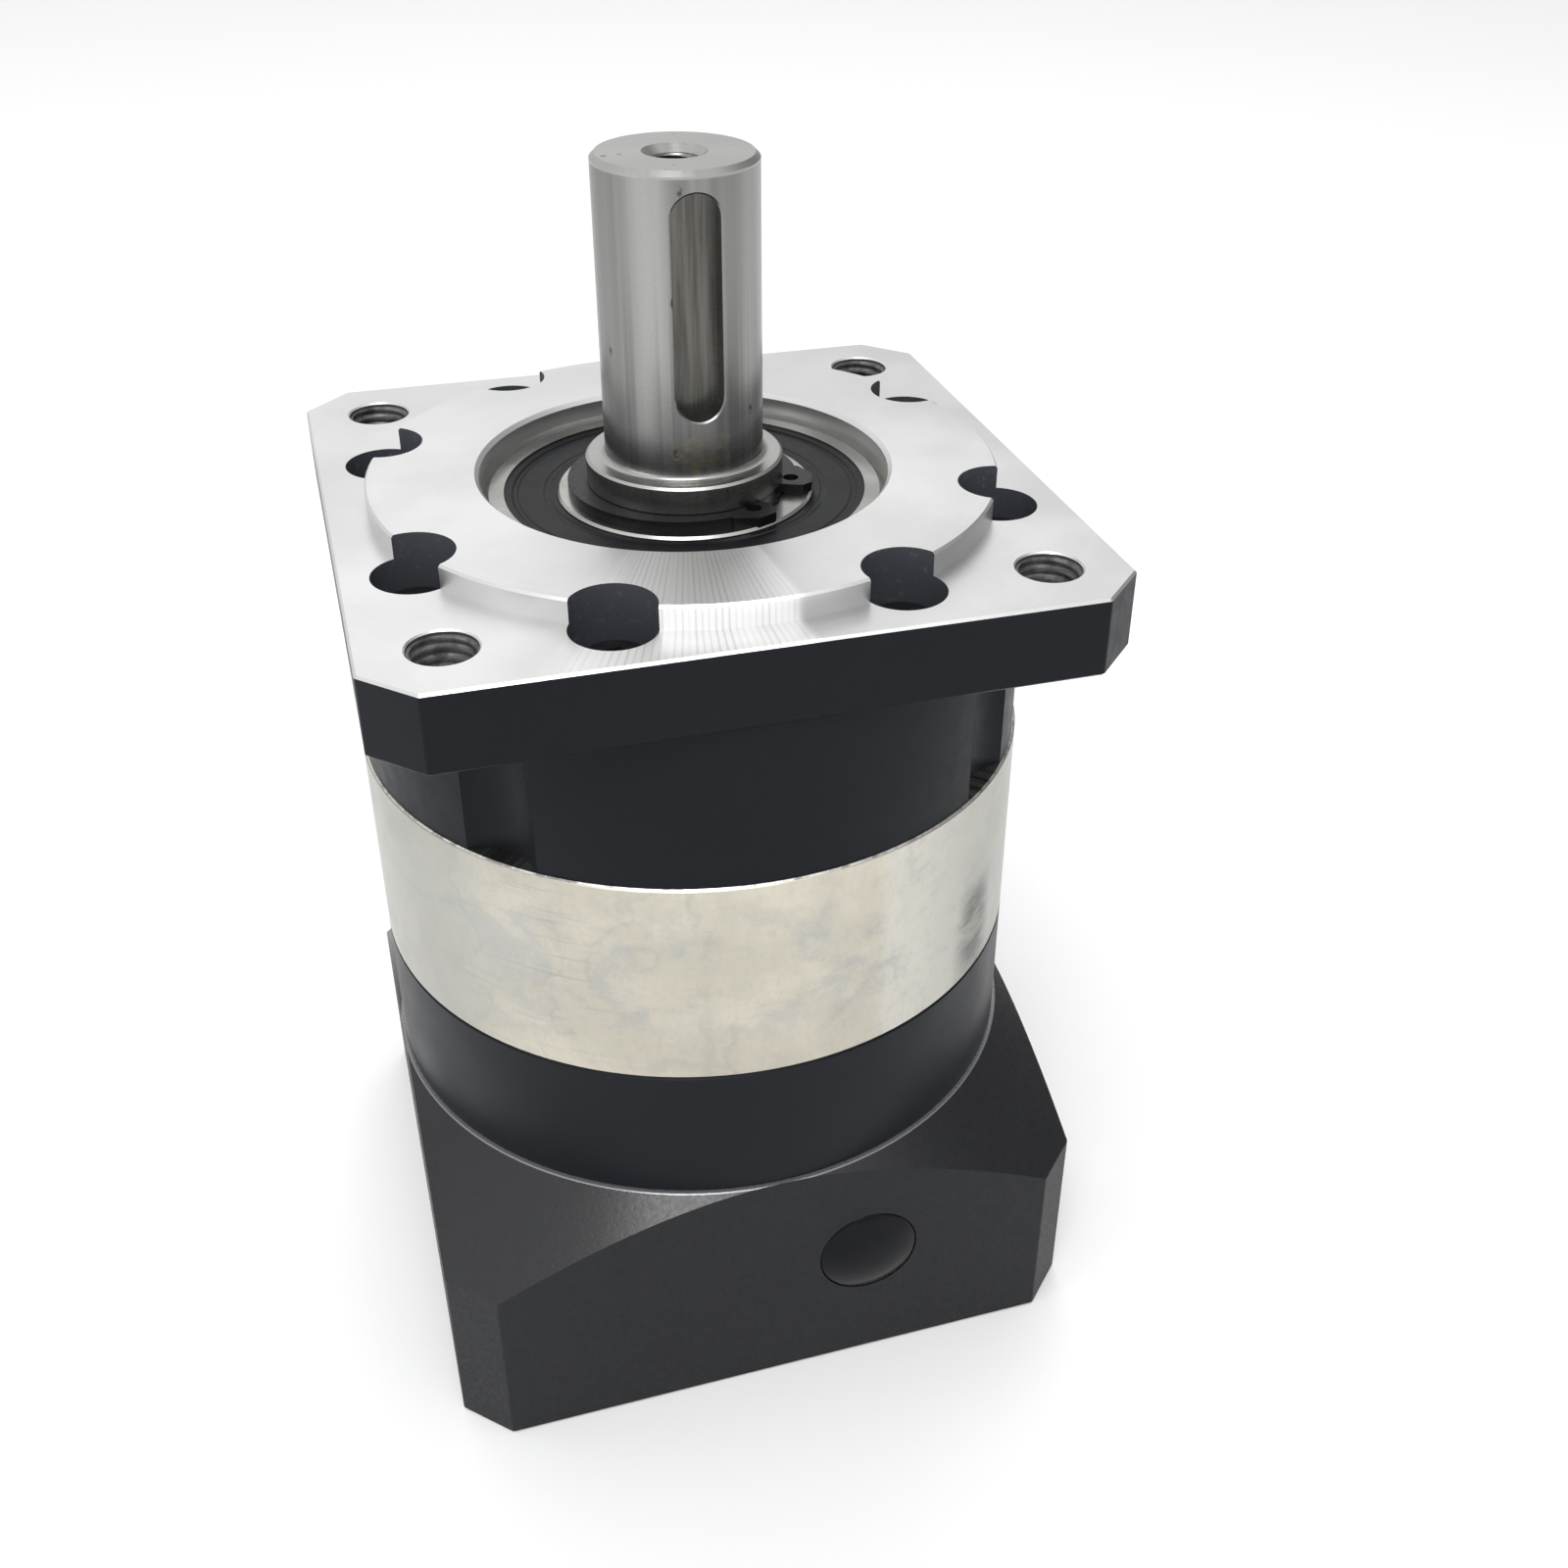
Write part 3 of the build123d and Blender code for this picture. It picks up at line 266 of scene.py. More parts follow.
    def wrapped(self, turns, rise):
        """Coordinates that run round the axis and along it, in cycles per radian and per metre."""
        _, _, z = self.split(self.place)
        angle = self.angle()
        return self.join(self.times(self.math("COSINE", angle), turns),
                         self.times(self.math("SINE", angle), turns), self.times(z, rise))


class Finish(Graph):
    """A material with one Principled shader."""

    def __init__(self, name, **constants):
        self.material = bpy.data.materials.new(name)
        self.material.use_nodes = True
        tree = self.material.node_tree
        coordinates = tree.nodes.new("ShaderNodeTexCoord")
        super().__init__(tree, coordinates.outputs["Object"])
        self.normal = coordinates.outputs["Normal"]
        self.shader = tree.nodes["Principled BSDF"]
        for socket, value in constants.items():
            self.shader.inputs[socket.replace("_", " ")].default_value = value

    def set(self, socket, value):
        """Feeds one of the shader's own sockets."""
        self.wire(value, self.shader.inputs[socket])

    def round_tangent(self):
        """Makes the brushed direction run round the shaft's axis."""
        node = self.tree.nodes.new("ShaderNodeTangent")
        node.direction_type = "RADIAL"
        node.axis = "Z"
        self.wire(node.outputs[0], self.shader.inputs["Tangent"])


# ---------------------------------------------------------------- the output housing
def machined_share(g):
    """1 on the output housing's bare machined surfaces: flange face, pilot and bearing bore."""
    x, y, z = g.split(g.place)
    nx, ny, nz = g.split(g.normal)
    r = g.radius()
    high = g.above(z, FLANGE_FACE - FACE_EDGE)
    top_faces = g.times(high, g.above(nz, FACING_UP))
    outward = g.add(g.times(nx, x), g.times(ny, y))
    radial = g.above(g.math("ABSOLUTE", outward), g.times(r, 0.9))
    pilot_wall = g.times(g.near(r, PILOT_R, FACE_EDGE), radial, high)
    bore_wall = g.times(g.below(r, BEARING_R + 2 * FACE_EDGE), radial)
    return g.either(top_faces, pilot_wall, bore_wall)


def inside_share(g):
    """1 in the flange's holes, 0 on its sides."""
    x, y, z = g.split(g.place)
    across = g.math("ABSOLUTE", x)
    along = g.math("ABSOLUTE", y)
    off_sides = g.below(g.math("MAXIMUM", across, along), HALF_FRAME - FACE_EDGE)
    off_corners = g.below(g.add(across, along), CORNER_SUM - FACE_EDGE)
    return g.times(g.above(z, FLANGE_FACE - HOLE_DEPTH), off_sides, off_corners)


def chatter_marks_and_painted_highlight(g):
    """The share of the flange, at its front, painted pale as a highlight fan, where the cutter also
    left fine radial marks.
    """
    turn = g.turn()
    ragged = g.times(g.noise(1.0, detail=2.0, vector=g.wrapped(30.0, 0.0)), 6.0)
    rising = g.ramp(g.add(turn, ragged), FAN_LEFT - 3.0, FAN_LEFT + 9.0)
    falling = g.ramp(turn, FAN_RIGHT - 2.0, FAN_RIGHT, 1.0, 0.0)
    return g.times(rising, falling)


def chatter_lines(g, painted_highlight_fan):
    """The fine radial cutter marks inside the painted highlight fan, uneven from one to the next.
    """
    drift = g.noise(24.0, detail=2.0)
    wave = g.math("SINE", g.add(g.times(g.angle(), FAN_LINES), g.times(drift, 7.0)))
    uneven = g.ramp(g.noise(1.0, detail=2.0, vector=g.wrapped(70.0, 0.0)), 0.35, 0.65, 0.15, 1.0)
    return g.times(painted_highlight_fan, g.ramp(wave, 0.0, 0.95), uneven)


def bright_metal_colour(g, cloud, painted_highlight_fan, lines):
    """Turned aluminium: cloudy, with paler rings, a painted highlight fan with darker cutter lines
    in it, and a few specks.
    """
    sweep = g.noise(1.0, detail=3.0, vector=g.join(g.times(g.radius(), 900.0), 0.0, 0.0))
    specks = g.times(g.ramp(g.cells(130.0), 0.0, 0.05, 1.0, 0.0), g.above(g.noise(90.0), 0.62))
    metal = g.blend(g.ramp(cloud, 0.35, 0.7), (0.655, 0.660, 0.655), (0.725, 0.728, 0.722))
    metal = g.blend(g.times(g.ramp(sweep, 0.5, 0.75), 0.25), metal, (0.80, 0.80, 0.795))
    # painted highlight: the pale fan stands in for the lamp's streak on the turned face
    metal = g.blend(g.times(painted_highlight_fan, 0.9), metal, (0.97, 0.97, 0.965))
    metal = g.blend(g.times(lines, 0.5), metal, (0.56, 0.565, 0.57))
    return g.blend(g.times(specks, 0.5), metal, (0.20, 0.20, 0.21))


def black_colour(g, inside):
    """Black anodising, with painted light lifting the colour in the flange's holes, and dusty
    specks there.
    """
    black = g.blend(g.noise(30.0), (0.0058, 0.0072, 0.0104), (0.0082, 0.0098, 0.0134))
    dust = g.ramp(g.noise(900.0, detail=4.0, roughness=0.7), 0.55, 0.8)
    # painted light: the holes' colour is lifted to stand in for the light reaching into them; the
    # specks are dust
    dusty_painted_light_in_holes = g.blend(dust, (0.062, 0.066, 0.078), (0.13, 0.132, 0.14))
    return g.blend(inside, black, dusty_painted_light_in_holes)


def output_housing_material():
    """Black anodised aluminium, with the flange face, pilot and bore turned bright afterwards, a
    painted highlight fan at the front and painted light in the holes.
    """
    g = Finish("black_anodised_with_machined_face")
    g.round_tangent()
    _, _, upward = g.split(g.normal)
    bare = machined_share(g)
    inside = inside_share(g)
    marks = g.turning_marks(0.22 * MM)
    painted_highlight_fan = g.times(bare, chatter_marks_and_painted_highlight(g))
    lines = chatter_lines(g, painted_highlight_fan)
    cloud = g.noise(48.0, detail=4.0)
    metal = bright_metal_colour(g, cloud, painted_highlight_fan, lines)
    g.set("Base Color", g.blend(bare, black_colour(g, inside), metal))
    # painted highlight: the fan is made less metallic so that its pale colour catches more light
    painted_fan_scatter = g.times(painted_highlight_fan, g.between(g.above(upward, FACING_UP), 0.32, 0.12))
    g.set("Metallic", g.math("SUBTRACT", bare, painted_fan_scatter))
    g.set("Specular IOR Level", g.between(bare, 0.122, 0.5))
    g.set("Anisotropic", g.between(painted_highlight_fan, 0.3, 0.6))
    bright_rough = g.add(g.ramp(cloud, 0.3, 0.7, 0.30, 0.35), g.times(marks, 0.04))
    black_rough = g.add(g.ramp(g.noise(400.0), 0.3, 0.7, 0.36, 0.44), g.times(inside, 0.1))
    g.set("Roughness", g.between(bare, black_rough, bright_rough))
    turned = g.bump(marks, 0.003 * MM, bare)
    ridged = g.bump(lines, 0.006 * MM, 0.6, turned)
    g.set("Normal", g.bump(g.noise(2600.0, detail=1.0), 0.003 * MM, 0.4, ridged))
    return g.material


# ---------------------------------------------------------------- the other black aluminium
def anodised_material():
    """Satin black anodised turned aluminium."""
    g = Finish("satin_black_anodised", Anisotropic=0.3, Specular_IOR_Level=0.135)
    g.round_tangent()
    g.set("Base Color", g.blend(g.noise(24.0), (0.0062, 0.0078, 0.0110), (0.0090, 0.0106, 0.0140)))
    g.set("Roughness", g.ramp(g.noise(90.0, detail=5.0), 0.3, 0.7, 0.33, 0.41))
    turned = g.bump(g.turning_marks(0.35 * MM), 0.003 * MM, 0.5)
    g.set("Normal", g.bump(g.noise(2600.0, detail=1.0), 0.004 * MM, 0.35, turned))
    return g.material


def blasted_material():
    """Black anodised aluminium: matt, grainy bead blasted sides, a darker, silkier cone and a
    painted highlight along the cone's top rim.
    """
    g = Finish("bead_blasted_black")
    _, _, z = g.split(g.place)
    _, _, nz = g.split(g.normal)
    cone = g.above(nz, FACING_UP)
    painted_highlight_rim = g.times(cone, g.above(z, ADAPTER_TOP - HIGHLIGHT_RIM_WIDTH))
    grain = g.noise(1500.0, detail=2.0, roughness=0.7)
    coarse = g.noise(600.0, detail=3.0)
    sides = g.blend(g.noise(40.0, detail=5.0), (0.0092, 0.0100, 0.0126), (0.0124, 0.0134, 0.0166))
    slope = g.blend(g.ramp(coarse, 0.3, 0.7), (0.0028, 0.0034, 0.0050), (0.0044, 0.0051, 0.0072))
    # painted highlight: a thin pale, half metallic rim at the cone's top stands in for its edge
    # catching the light
    g.set("Base Color", g.blend(painted_highlight_rim, g.blend(cone, sides, slope), (0.24, 0.24, 0.25)))
    g.set("Metallic", g.times(painted_highlight_rim, 0.5))
    g.set("Specular IOR Level", g.between(cone, 0.24, 0.56))
    matt = g.ramp(grain, 0.3, 0.7, 0.44, 0.56)
    silky = g.ramp(grain, 0.3, 0.7, 0.25, 0.33)
    g.set("Roughness", g.between(cone, matt, silky))
    lumps = g.bump(coarse, 0.02 * MM, g.between(cone, 0.2, 0.5))
    g.set("Normal", g.bump(grain, 0.022 * MM, g.between(cone, 0.25, 1.0), lumps))
    return g.material


# ---------------------------------------------------------------- the plated ring gear
def ring_veins(g, z, patch, mottle, warped):
    """Thin irregular veins in the plating, with a long one near the ring's front."""
    bent = g.join(g.add(g.angle(), g.times(warped, 0.5)), g.times(warped, 0.4), g.times(z, 13.0))
    cracks = g.cells(2.2, "DISTANCE_TO_EDGE", bent)
    vein = g.times(g.ramp(cracks, 0.0, 0.032, 1.0, 0.0), g.ramp(patch, 0.40, 0.56))
    wander = g.add(g.turn(), g.times(mottle, 7.0))
    off_vein = g.math("ABSOLUTE", g.add(wander, LONG_VEIN_ANGLE))
    long_vein = g.times(g.ramp(off_vein, 0.0, 1.3, 1.0, 0.0),
                        g.below(z, RING_HIGH - LONG_VEIN_STOP),
                        g.ramp(patch, 0.35, 0.5, 0.3, 1.0))
    return g.either(vein, long_vein)


def ring_tone_with_painted_light(g, stain):
    """Warm plating, with a painted highlight band on one side of the front and painted shade
    darkening it towards the back.
    """
    turn = g.turn()
    colour = g.blend(g.ramp(stain, 0.36, 0.66), (0.525, 0.497, 0.423), (0.620, 0.585, 0.496))
    # painted highlight: a paler band just right of the front
    painted_highlight_band = g.times(g.ramp(turn, -74.0, -70.0), g.ramp(turn, -56.0, -48.0, 1.0, 0.0))
    colour = g.blend(g.times(painted_highlight_band, 0.45), colour, (0.66, 0.655, 0.62))
    # painted shade: the plating darkens away from the front
    off_front = g.math("ABSOLUTE", g.add(turn, RING_FRONT_ANGLE))
    painted_shade = g.ramp(off_front, 26.0, 56.0, 0.0, 0.80)
    return g.blend(painted_shade, colour, (0.365, 0.365, 0.343))


def ring_painted_dark_reflection(g, z, patch):
    """A painted dark reflection low on the ring's right side."""
    off_reflection = g.math("ABSOLUTE", g.add(g.add(g.turn(), DARK_REFLECTION_ANGLE), g.times(patch, 6.0)))
    off_height = g.math("ABSOLUTE", g.math("SUBTRACT", z, RING_LOW + DARK_REFLECTION_HEIGHT))
    ragged_reflection = g.noise(1.0, detail=4.0, roughness=0.7, vector=g.wrapped(5.0, 700.0))
    return g.times(g.ramp(off_reflection, 1.5, 7.5, 1.0, 0.0),
                   g.ramp(off_height, 5.0 * MM, 10.0 * MM, 1.0, 0.0),
                   g.ramp(ragged_reflection, 0.30, 0.62, 0.35, 1.0))


def nickel_material():
    """Nickel plated steel: warm, stained in clouds and veins, with fine scratches running round,
    painted highlights on a band and along the edges, painted shade towards the back and a painted
    dark reflection.
    """
    g = Finish("nickel_plated_steel", Metallic=1.0, Anisotropic=0.35)
    g.round_tangent()
    _, _, z = g.split(g.place)
    turn = g.turn()
    place = g.wrapped(1.0, 26.0)
    stain = g.noise(1.9, detail=6.0, roughness=0.62, vector=place, distortion=0.4)
    patch = g.noise(4.0, detail=7.0, roughness=0.72, vector=place, distortion=0.4)
    warped = g.noise(3.0, detail=4.0, vector=place)
    mottle = g.noise(14.0, detail=6.0, roughness=0.75, vector=place)
    grain = g.noise(1.0, detail=3.0, roughness=0.7, vector=g.wrapped(60.0, 700.0))
    off_middle = g.math("ABSOLUTE", g.math("SUBTRACT", z, RING_LOW + CLOUD_HEIGHT))
    cloud = g.times(g.ramp(patch, 0.49, 0.62), g.ramp(off_middle, 5.0 * MM, 13.0 * MM, 1.0, 0.0))
    veins = ring_veins(g, z, patch, mottle, warped)
    scratch = g.noise(1.0, detail=2.0, roughness=0.8, vector=g.wrapped(3.0, 1500.0))
    scratched = g.times(g.ramp(scratch, 0.58, 0.68), g.ramp(turn, -128.0, -112.0, 1.0, 0.25))
    layers = (
        (g.times(cloud, 0.55), (0.42, 0.430, 0.425)),
        (g.times(g.ramp(mottle, 0.50, 0.68), 0.25), (0.39, 0.375, 0.33)),
        (g.times(veins, 0.24), (0.34, 0.335, 0.31)),
        (g.times(g.ramp(grain, 0.45, 0.70), 0.16), (0.36, 0.35, 0.32)),
        (g.times(scratched, 0.45), (0.36, 0.37, 0.37)),
        # painted reflection: the dark patch low on the ring's right
        (g.times(ring_painted_dark_reflection(g, z, patch), 0.85), (0.075, 0.077, 0.075)),
    )
    colour = ring_tone_with_painted_light(g, stain)
    for share, tint in layers:
        colour = g.blend(share, colour, tint)
    # painted highlight: pale colour along the ring's upper and lower edges
    lip = g.either(g.above(z, RING_HIGH - 0.18 * MM), g.below(z, RING_LOW + 0.2 * MM))
    painted_highlight_lip = g.blend(g.ramp(mottle, 0.40, 0.55), (0.30, 0.29, 0.27), (0.72, 0.71, 0.67))
    g.set("Base Color", g.blend(lip, colour, painted_highlight_lip))
    polish = g.ramp(stain, 0.3, 0.7, 0.35, 0.27)
    g.set("Roughness", g.add(polish, g.ramp(patch, 0.4, 0.75, 0.0, 0.10)))
    fine = g.noise(1.0, detail=3.0, roughness=0.8, vector=g.wrapped(6.0, 4200.0))
    g.set("Normal", g.bump(mottle, 0.03 * MM, 0.3, g.bump(fine, 0.005 * MM, 0.6)))
    return g.material


# ---------------------------------------------------------------- the output shaft
def keyway_share(g):
    """1 on the floor and side walls of the keyway."""
    x, y, z = g.split(g.place)
    _, _, nz = g.split(g.normal)
    across = g.times(g.below(g.math("ABSOLUTE", x), KEYWAY_HALF_WIDTH),
                     g.below(y, 0.0),
                     g.below(g.radius(), KEYWAY_RADIUS))
    along = g.times(g.above(z, SHAFT_END - KEYWAY_BOTTOM), g.below(z, SHAFT_END - KEYWAY_TOP))
    return g.times(across, along, g.below(nz, 0.35))


def shaft_tone(g, drag, wall):
    """Upright bands of tone round the shaft, with a painted highlight band, painted shade darkening
    it towards the collar, and dark streaks there.
    """
    _, _, z = g.split(g.place)
    bands = g.noise(1.0, detail=2.0, roughness=0.5, vector=g.wrapped(1.6, 0.0))
    tone = g.add(g.times(bands, 0.8), g.times(drag, 0.2))
    base = g.blend(g.ramp(tone, 0.36, 0.62), (0.215, 0.215, 0.209), (0.320, 0.320, 0.310))
    # painted highlight: a paler upright band on the shaft
    painted_sheen = g.ramp(g.math("ABSOLUTE", g.add(g.turn(), PAINTED_SHEEN_ANGLE)), 4.0, 22.0, 1.0, 0.0)
    base = g.blend(g.times(painted_sheen, 0.55), base, (0.42, 0.42, 0.405))
    # painted shade: the wall darkens and turns bluish towards the collar
    low = g.ramp(z, FLANGE_FACE + 7.0 * MM, FLANGE_FACE + 17.0 * MM, 1.0, 0.0)
    base = g.blend(g.times(low, wall, 0.50), base, (0.150, 0.156, 0.166))
    streak = g.noise(1.0, detail=3.0, roughness=0.6, vector=g.wrapped(7.0, 0.0))
    fading = g.ramp(z, FLANGE_FACE + 14.0 * MM, FLANGE_FACE + 34.0 * MM, 0.50, 0.08)
    streaked = g.times(g.ramp(streak, 0.48, 0.60), wall, fading)
    return g.blend(streaked, base, (0.125, 0.128, 0.130))


def shaft_rust(g, wall):
    """A faint brown stain between the keyway and the collar."""
    x, y, z = g.split(g.place)
    below_key = g.times(g.below(g.math("ABSOLUTE", x), RUST_HALF_WIDTH), g.below(y, 0.0), wall,
                        g.ramp(z, FLANGE_FACE + 8.5 * MM, FLANGE_FACE + 12.0 * MM, 1.0, 0.0))
    return g.times(below_key, g.ramp(g.noise(620.0, detail=5.0, roughness=0.7), 0.44, 0.62))


def shaft_nicks(g, outside):
    """A few small ragged nicks, in clusters."""
    x, y, z = g.split(g.place)
    stretched = g.join(g.times(x, 1.7), g.times(y, 1.7), z)
    dots = g.ramp(g.cells(150.0, vector=stretched), 0.06, 0.13, 1.0, 0.0)
    ragged = g.ramp(g.noise(1500.0, detail=3.0), 0.32, 0.54)
    return g.times(dots, ragged, g.above(g.noise(40.0), 0.41), outside)


def ground_steel_material():
    """Ground shaft steel: fine rings, upright bands, a keyway darkened with painted shade over
    milled streaks, nicks and a brown stain.
    """
    g = Finish("ground_shaft_steel", Metallic=1.0, Anisotropic=0.5)
    g.round_tangent()
    x, _, z = g.split(g.place)
    marks = g.turning_marks(0.10 * MM)
    drag = g.noise(1.0, detail=2.0, roughness=0.6, vector=g.wrapped(14.0, 4.0))
    wall = g.above(z, FLANGE_FACE + COLLAR_TOP)
    key = keyway_share(g)
    nicks = shaft_nicks(g, g.math("SUBTRACT", wall, key))
    faced = g.blend(g.ramp(marks, 0.3, 0.7), (0.33, 0.33, 0.318), (0.43, 0.43, 0.415))
    ends = g.either(g.math("SUBTRACT", 1.0, wall), g.above(z, SHAFT_END - END_CHAMFER))
    drawn = g.join(g.times(x, 900.0), 0.0, g.times(z, 40.0))
    inner = g.noise(1.0, detail=3.0, roughness=0.6, vector=drawn)
    # painted shade: the keyway's floor and walls are darkened for the shade in it, over milled
    # streaks
    milled_and_shaded_keyway = g.blend(g.ramp(inner, 0.35, 0.65), (0.080, 0.078, 0.070), (0.150, 0.147, 0.135))
    base = g.blend(ends, shaft_tone(g, drag, wall), faced)
    base = g.blend(g.times(shaft_rust(g, wall), 0.60), base, (0.32, 0.26, 0.15))
    base = g.blend(key, base, milled_and_shaded_keyway)
    g.set("Base Color", g.blend(g.times(nicks, 0.85), base, (0.05, 0.05, 0.052)))
    g.set("Roughness", g.ramp(g.add(marks, g.times(drag, 0.5)), 0.4, 1.1, 0.24, 0.34))
    g.set("Normal", g.bump(nicks, -0.04 * MM, 0.7, g.bump(marks, 0.004 * MM, 0.5)))
    return g.material


# ---------------------------------------------------------------- plainer materials
def steel_material(name, dark, light, rough):
    """Plain machined metal with turning marks."""
    g = Finish(name, Metallic=1.0, Anisotropic=0.4)
    g.round_tangent()
    cloud = g.noise(120.0, detail=5.0)
    g.set("Base Color", g.blend(g.ramp(cloud, 0.35, 0.7), dark, light))
    g.set("Roughness", g.ramp(cloud, 0.3, 0.7, rough - 0.05, rough + 0.06))
    g.set("Normal", g.bump(g.turning_marks(0.12 * MM), 0.005 * MM, 0.6))
    return g.material


def oxide_material(name, tint, rough):
    """Black oxide or phosphate on steel, worn slightly brighter here and there."""
    g = Finish(name, Metallic=0.6, Specular_IOR_Level=0.35)
    cloud = g.noise(260.0, detail=5.0)
    fine = g.noise(2400.0, detail=2.0)
    worn = tuple(3.0 * channel for channel in tint)
    g.set("Base Color", g.blend(g.ramp(cloud, 0.55, 0.85, 0.0, 0.5), tint, worn))
    g.set("Roughness", g.ramp(fine, 0.3, 0.7, rough - 0.06, rough + 0.08))
    g.set("Normal", g.bump(fine, 0.006 * MM, 0.5))
    return g.material


def rubber_material(name, tint, rough, gloss, grain=0.4):
    """Moulded black rubber or plastic with a fine dusty bloom."""
    g = Finish(name, Specular_IOR_Level=gloss)
    dust = g.noise(180.0, detail=6.0, roughness=0.65)
    lighter = tuple(1.6 * channel for channel in tint)
    g.set("Base Color", g.blend(g.ramp(dust, 0.45, 0.85), tint, lighter))
    g.set("Roughness", g.ramp(dust, 0.3, 0.75, rough - 0.03, rough + 0.07))
    g.set("Normal", g.bump(g.noise(3200.0, detail=2.0), 0.005 * MM, grain))
    return g.material


def thread_material():
    """Tapped aluminium: dark anodised grooves, finely cut, rubbed barer along the crests."""
    g = Finish("tapped_black_aluminium", Specular_IOR_Level=0.35)
    _, _, z = g.split(g.place)
    along = g.join(0.0, 0.0, g.times(z, 3300.0))
    cut = g.noise(1.0, detail=2.0, roughness=0.7, vector=along)
    rubbed = g.ramp(g.noise(500.0, detail=4.0), 0.35, 0.65)
    worn = g.times(rubbed, g.ramp(cut, 0.40, 0.65, 0.3, 1.0))
    g.set("Base Color", g.blend(worn, (0.060, 0.060, 0.062), (0.28, 0.28, 0.282)))
    g.set("Metallic", g.ramp(worn, 0.0, 1.0, 0.2, 0.7))
    g.set("Roughness", g.ramp(worn, 0.0, 1.0, 0.50, 0.38))
    g.set("Normal", g.bump(g.add(g.noise(1800.0), cut), 0.010 * MM, 0.6))
    return g.material


SLOT_MATERIALS = {
    "black_anodised_aluminium": anodised_material(),
    "blasted_black_aluminium": blasted_material(),
    "nickel_plated_steel": nickel_material(),
    "plug_rubber":
        rubber_material("glossy_plug", (0.0044, 0.0049, 0.0066), 0.15, 0.14, 0.06),
    "ground_steel": ground_steel_material(),
    "gear_steel":
        steel_material("ground_gear_steel", (0.36, 0.355, 0.345), (0.47, 0.46, 0.45), 0.30),
    "clamp_steel":
        oxide_material("blackened_clamp_steel", (0.045, 0.045, 0.048), 0.38),
    "seal_rubber":
        rubber_material("seal_rubber", (0.0040, 0.0045, 0.0058), 0.34, 0.13),
    "bearing_steel":
        steel_material("bearing_ring_steel", (0.35, 0.345, 0.33), (0.47, 0.465, 0.445), 0.22),
    "cage_steel":
        steel_material("pressed_cage_steel", (0.40, 0.39, 0.37), (0.52, 0.51, 0.49), 0.35),
    "washer_bronze":
        steel_material("bearing_bronze", (0.50, 0.33, 0.15), (0.62, 0.43, 0.22), 0.35),
    "spring_steel":
        oxide_material("phosphated_spring_steel", (0.014, 0.014, 0.016), 0.36),
    "black_screw_steel":
        oxide_material("black_oxide_screws", (0.028, 0.028, 0.031), 0.34),
}
HOUSING_MATERIAL = output_housing_material()
THREAD_MATERIAL = thread_material()


def dress_cad_nodes():
    """Gives every CAD node the finish of its material slot."""
    for part in frame["record"]["subparts"]:
        piece = frame["nodes"][part["node"]]
        material = SLOT_MATERIALS[part["material_slot"]]
        if part["node"] == "output_housing":
            material = HOUSING_MATERIAL
        piece.data.materials.clear()
        piece.data.materials.append(material)


# ---------------------------------------------------------------- threads in the tapped holes
def thread_height(turn):
    """The height of a 60 degree internal thread over one turn, 0 at the root, 1 at the crest."""
    rise = abs(2.0 * (turn % 1.0) - 1.0)
    return min(1.0, max(0.0, 1.25 * rise - 0.125))


def sleeve_points(major_r, pitch, length, rows):
    """The rings of points of a thread sleeve: the threaded side upwards, then two on the wall."""
    minor_r = major_r - THREAD_DEPTH * pitch
    wall_r = major_r - THREAD_GAP
    root_r = wall_r - THREAD_WALL
    spins = [step / THREAD_STEPS for step in range(THREAD_STEPS)]
    rings = []
    for row in range(rows + 1):
        z = length * row / rows
        heights = [thread_height(z / pitch - turn) for turn in spins]
        rings.append((z, [root_r + (minor_r - root_r) * height for height in heights]))
    rings.append((0.0, [wall_r] * THREAD_STEPS))
    rings.append((length, [wall_r] * THREAD_STEPS))
    points = []
    for z, radii in rings:
        for turn, radius in zip(spins, radii):
            spin = 2.0 * math.pi * turn
            points.append((radius * math.cos(spin), radius * math.sin(spin), z))
    return points


def sleeve_faces(rows):
    """The quads between a sleeve's rings of points."""
    top = rows * THREAD_STEPS
    low_wall = top + THREAD_STEPS
    high_wall = low_wall + THREAD_STEPS
    faces = []
    for step in range(THREAD_STEPS):
        after = (step + 1) % THREAD_STEPS
        for low in range(0, top, THREAD_STEPS):
            high = low + THREAD_STEPS
            faces.append((low + step, high + step, high + after, low + after))
        faces.append((low_wall + step, low_wall + after, high_wall + after, high_wall + step))
        faces.append((step, after, low_wall + after, low_wall + step))
        faces.append((top + after, top + step, high_wall + step, high_wall + after))
    return faces


def thread_sleeve(name, major_r, pitch, length, corner, body, material):
    """A closed sleeve with a helical thread inside, which lines a tapped hole along Z."""
    rows = int(length / pitch * THREAD_ROWS)
    mesh = bpy.data.meshes.new(name)
    mesh.from_pydata(sleeve_points(major_r, pitch, length, rows), [], sleeve_faces(rows))
    mesh.transform(Matrix.Translation(corner))
    mesh.validate()
    mesh.shade_smooth()
    mesh.set_sharp_from_angle(angle=math.radians(50.0))
    mesh.materials.append(material)
    piece = bpy.data.objects.new(name, mesh)
    bpy.context.scene.collection.objects.link(piece)
    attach(piece, body)


def square_corners(spacing):
    """The four corners of a square with this side, about the axis."""
    half = spacing / 2
    return [(half, half), (-half, half), (-half, -half), (half, -half)]


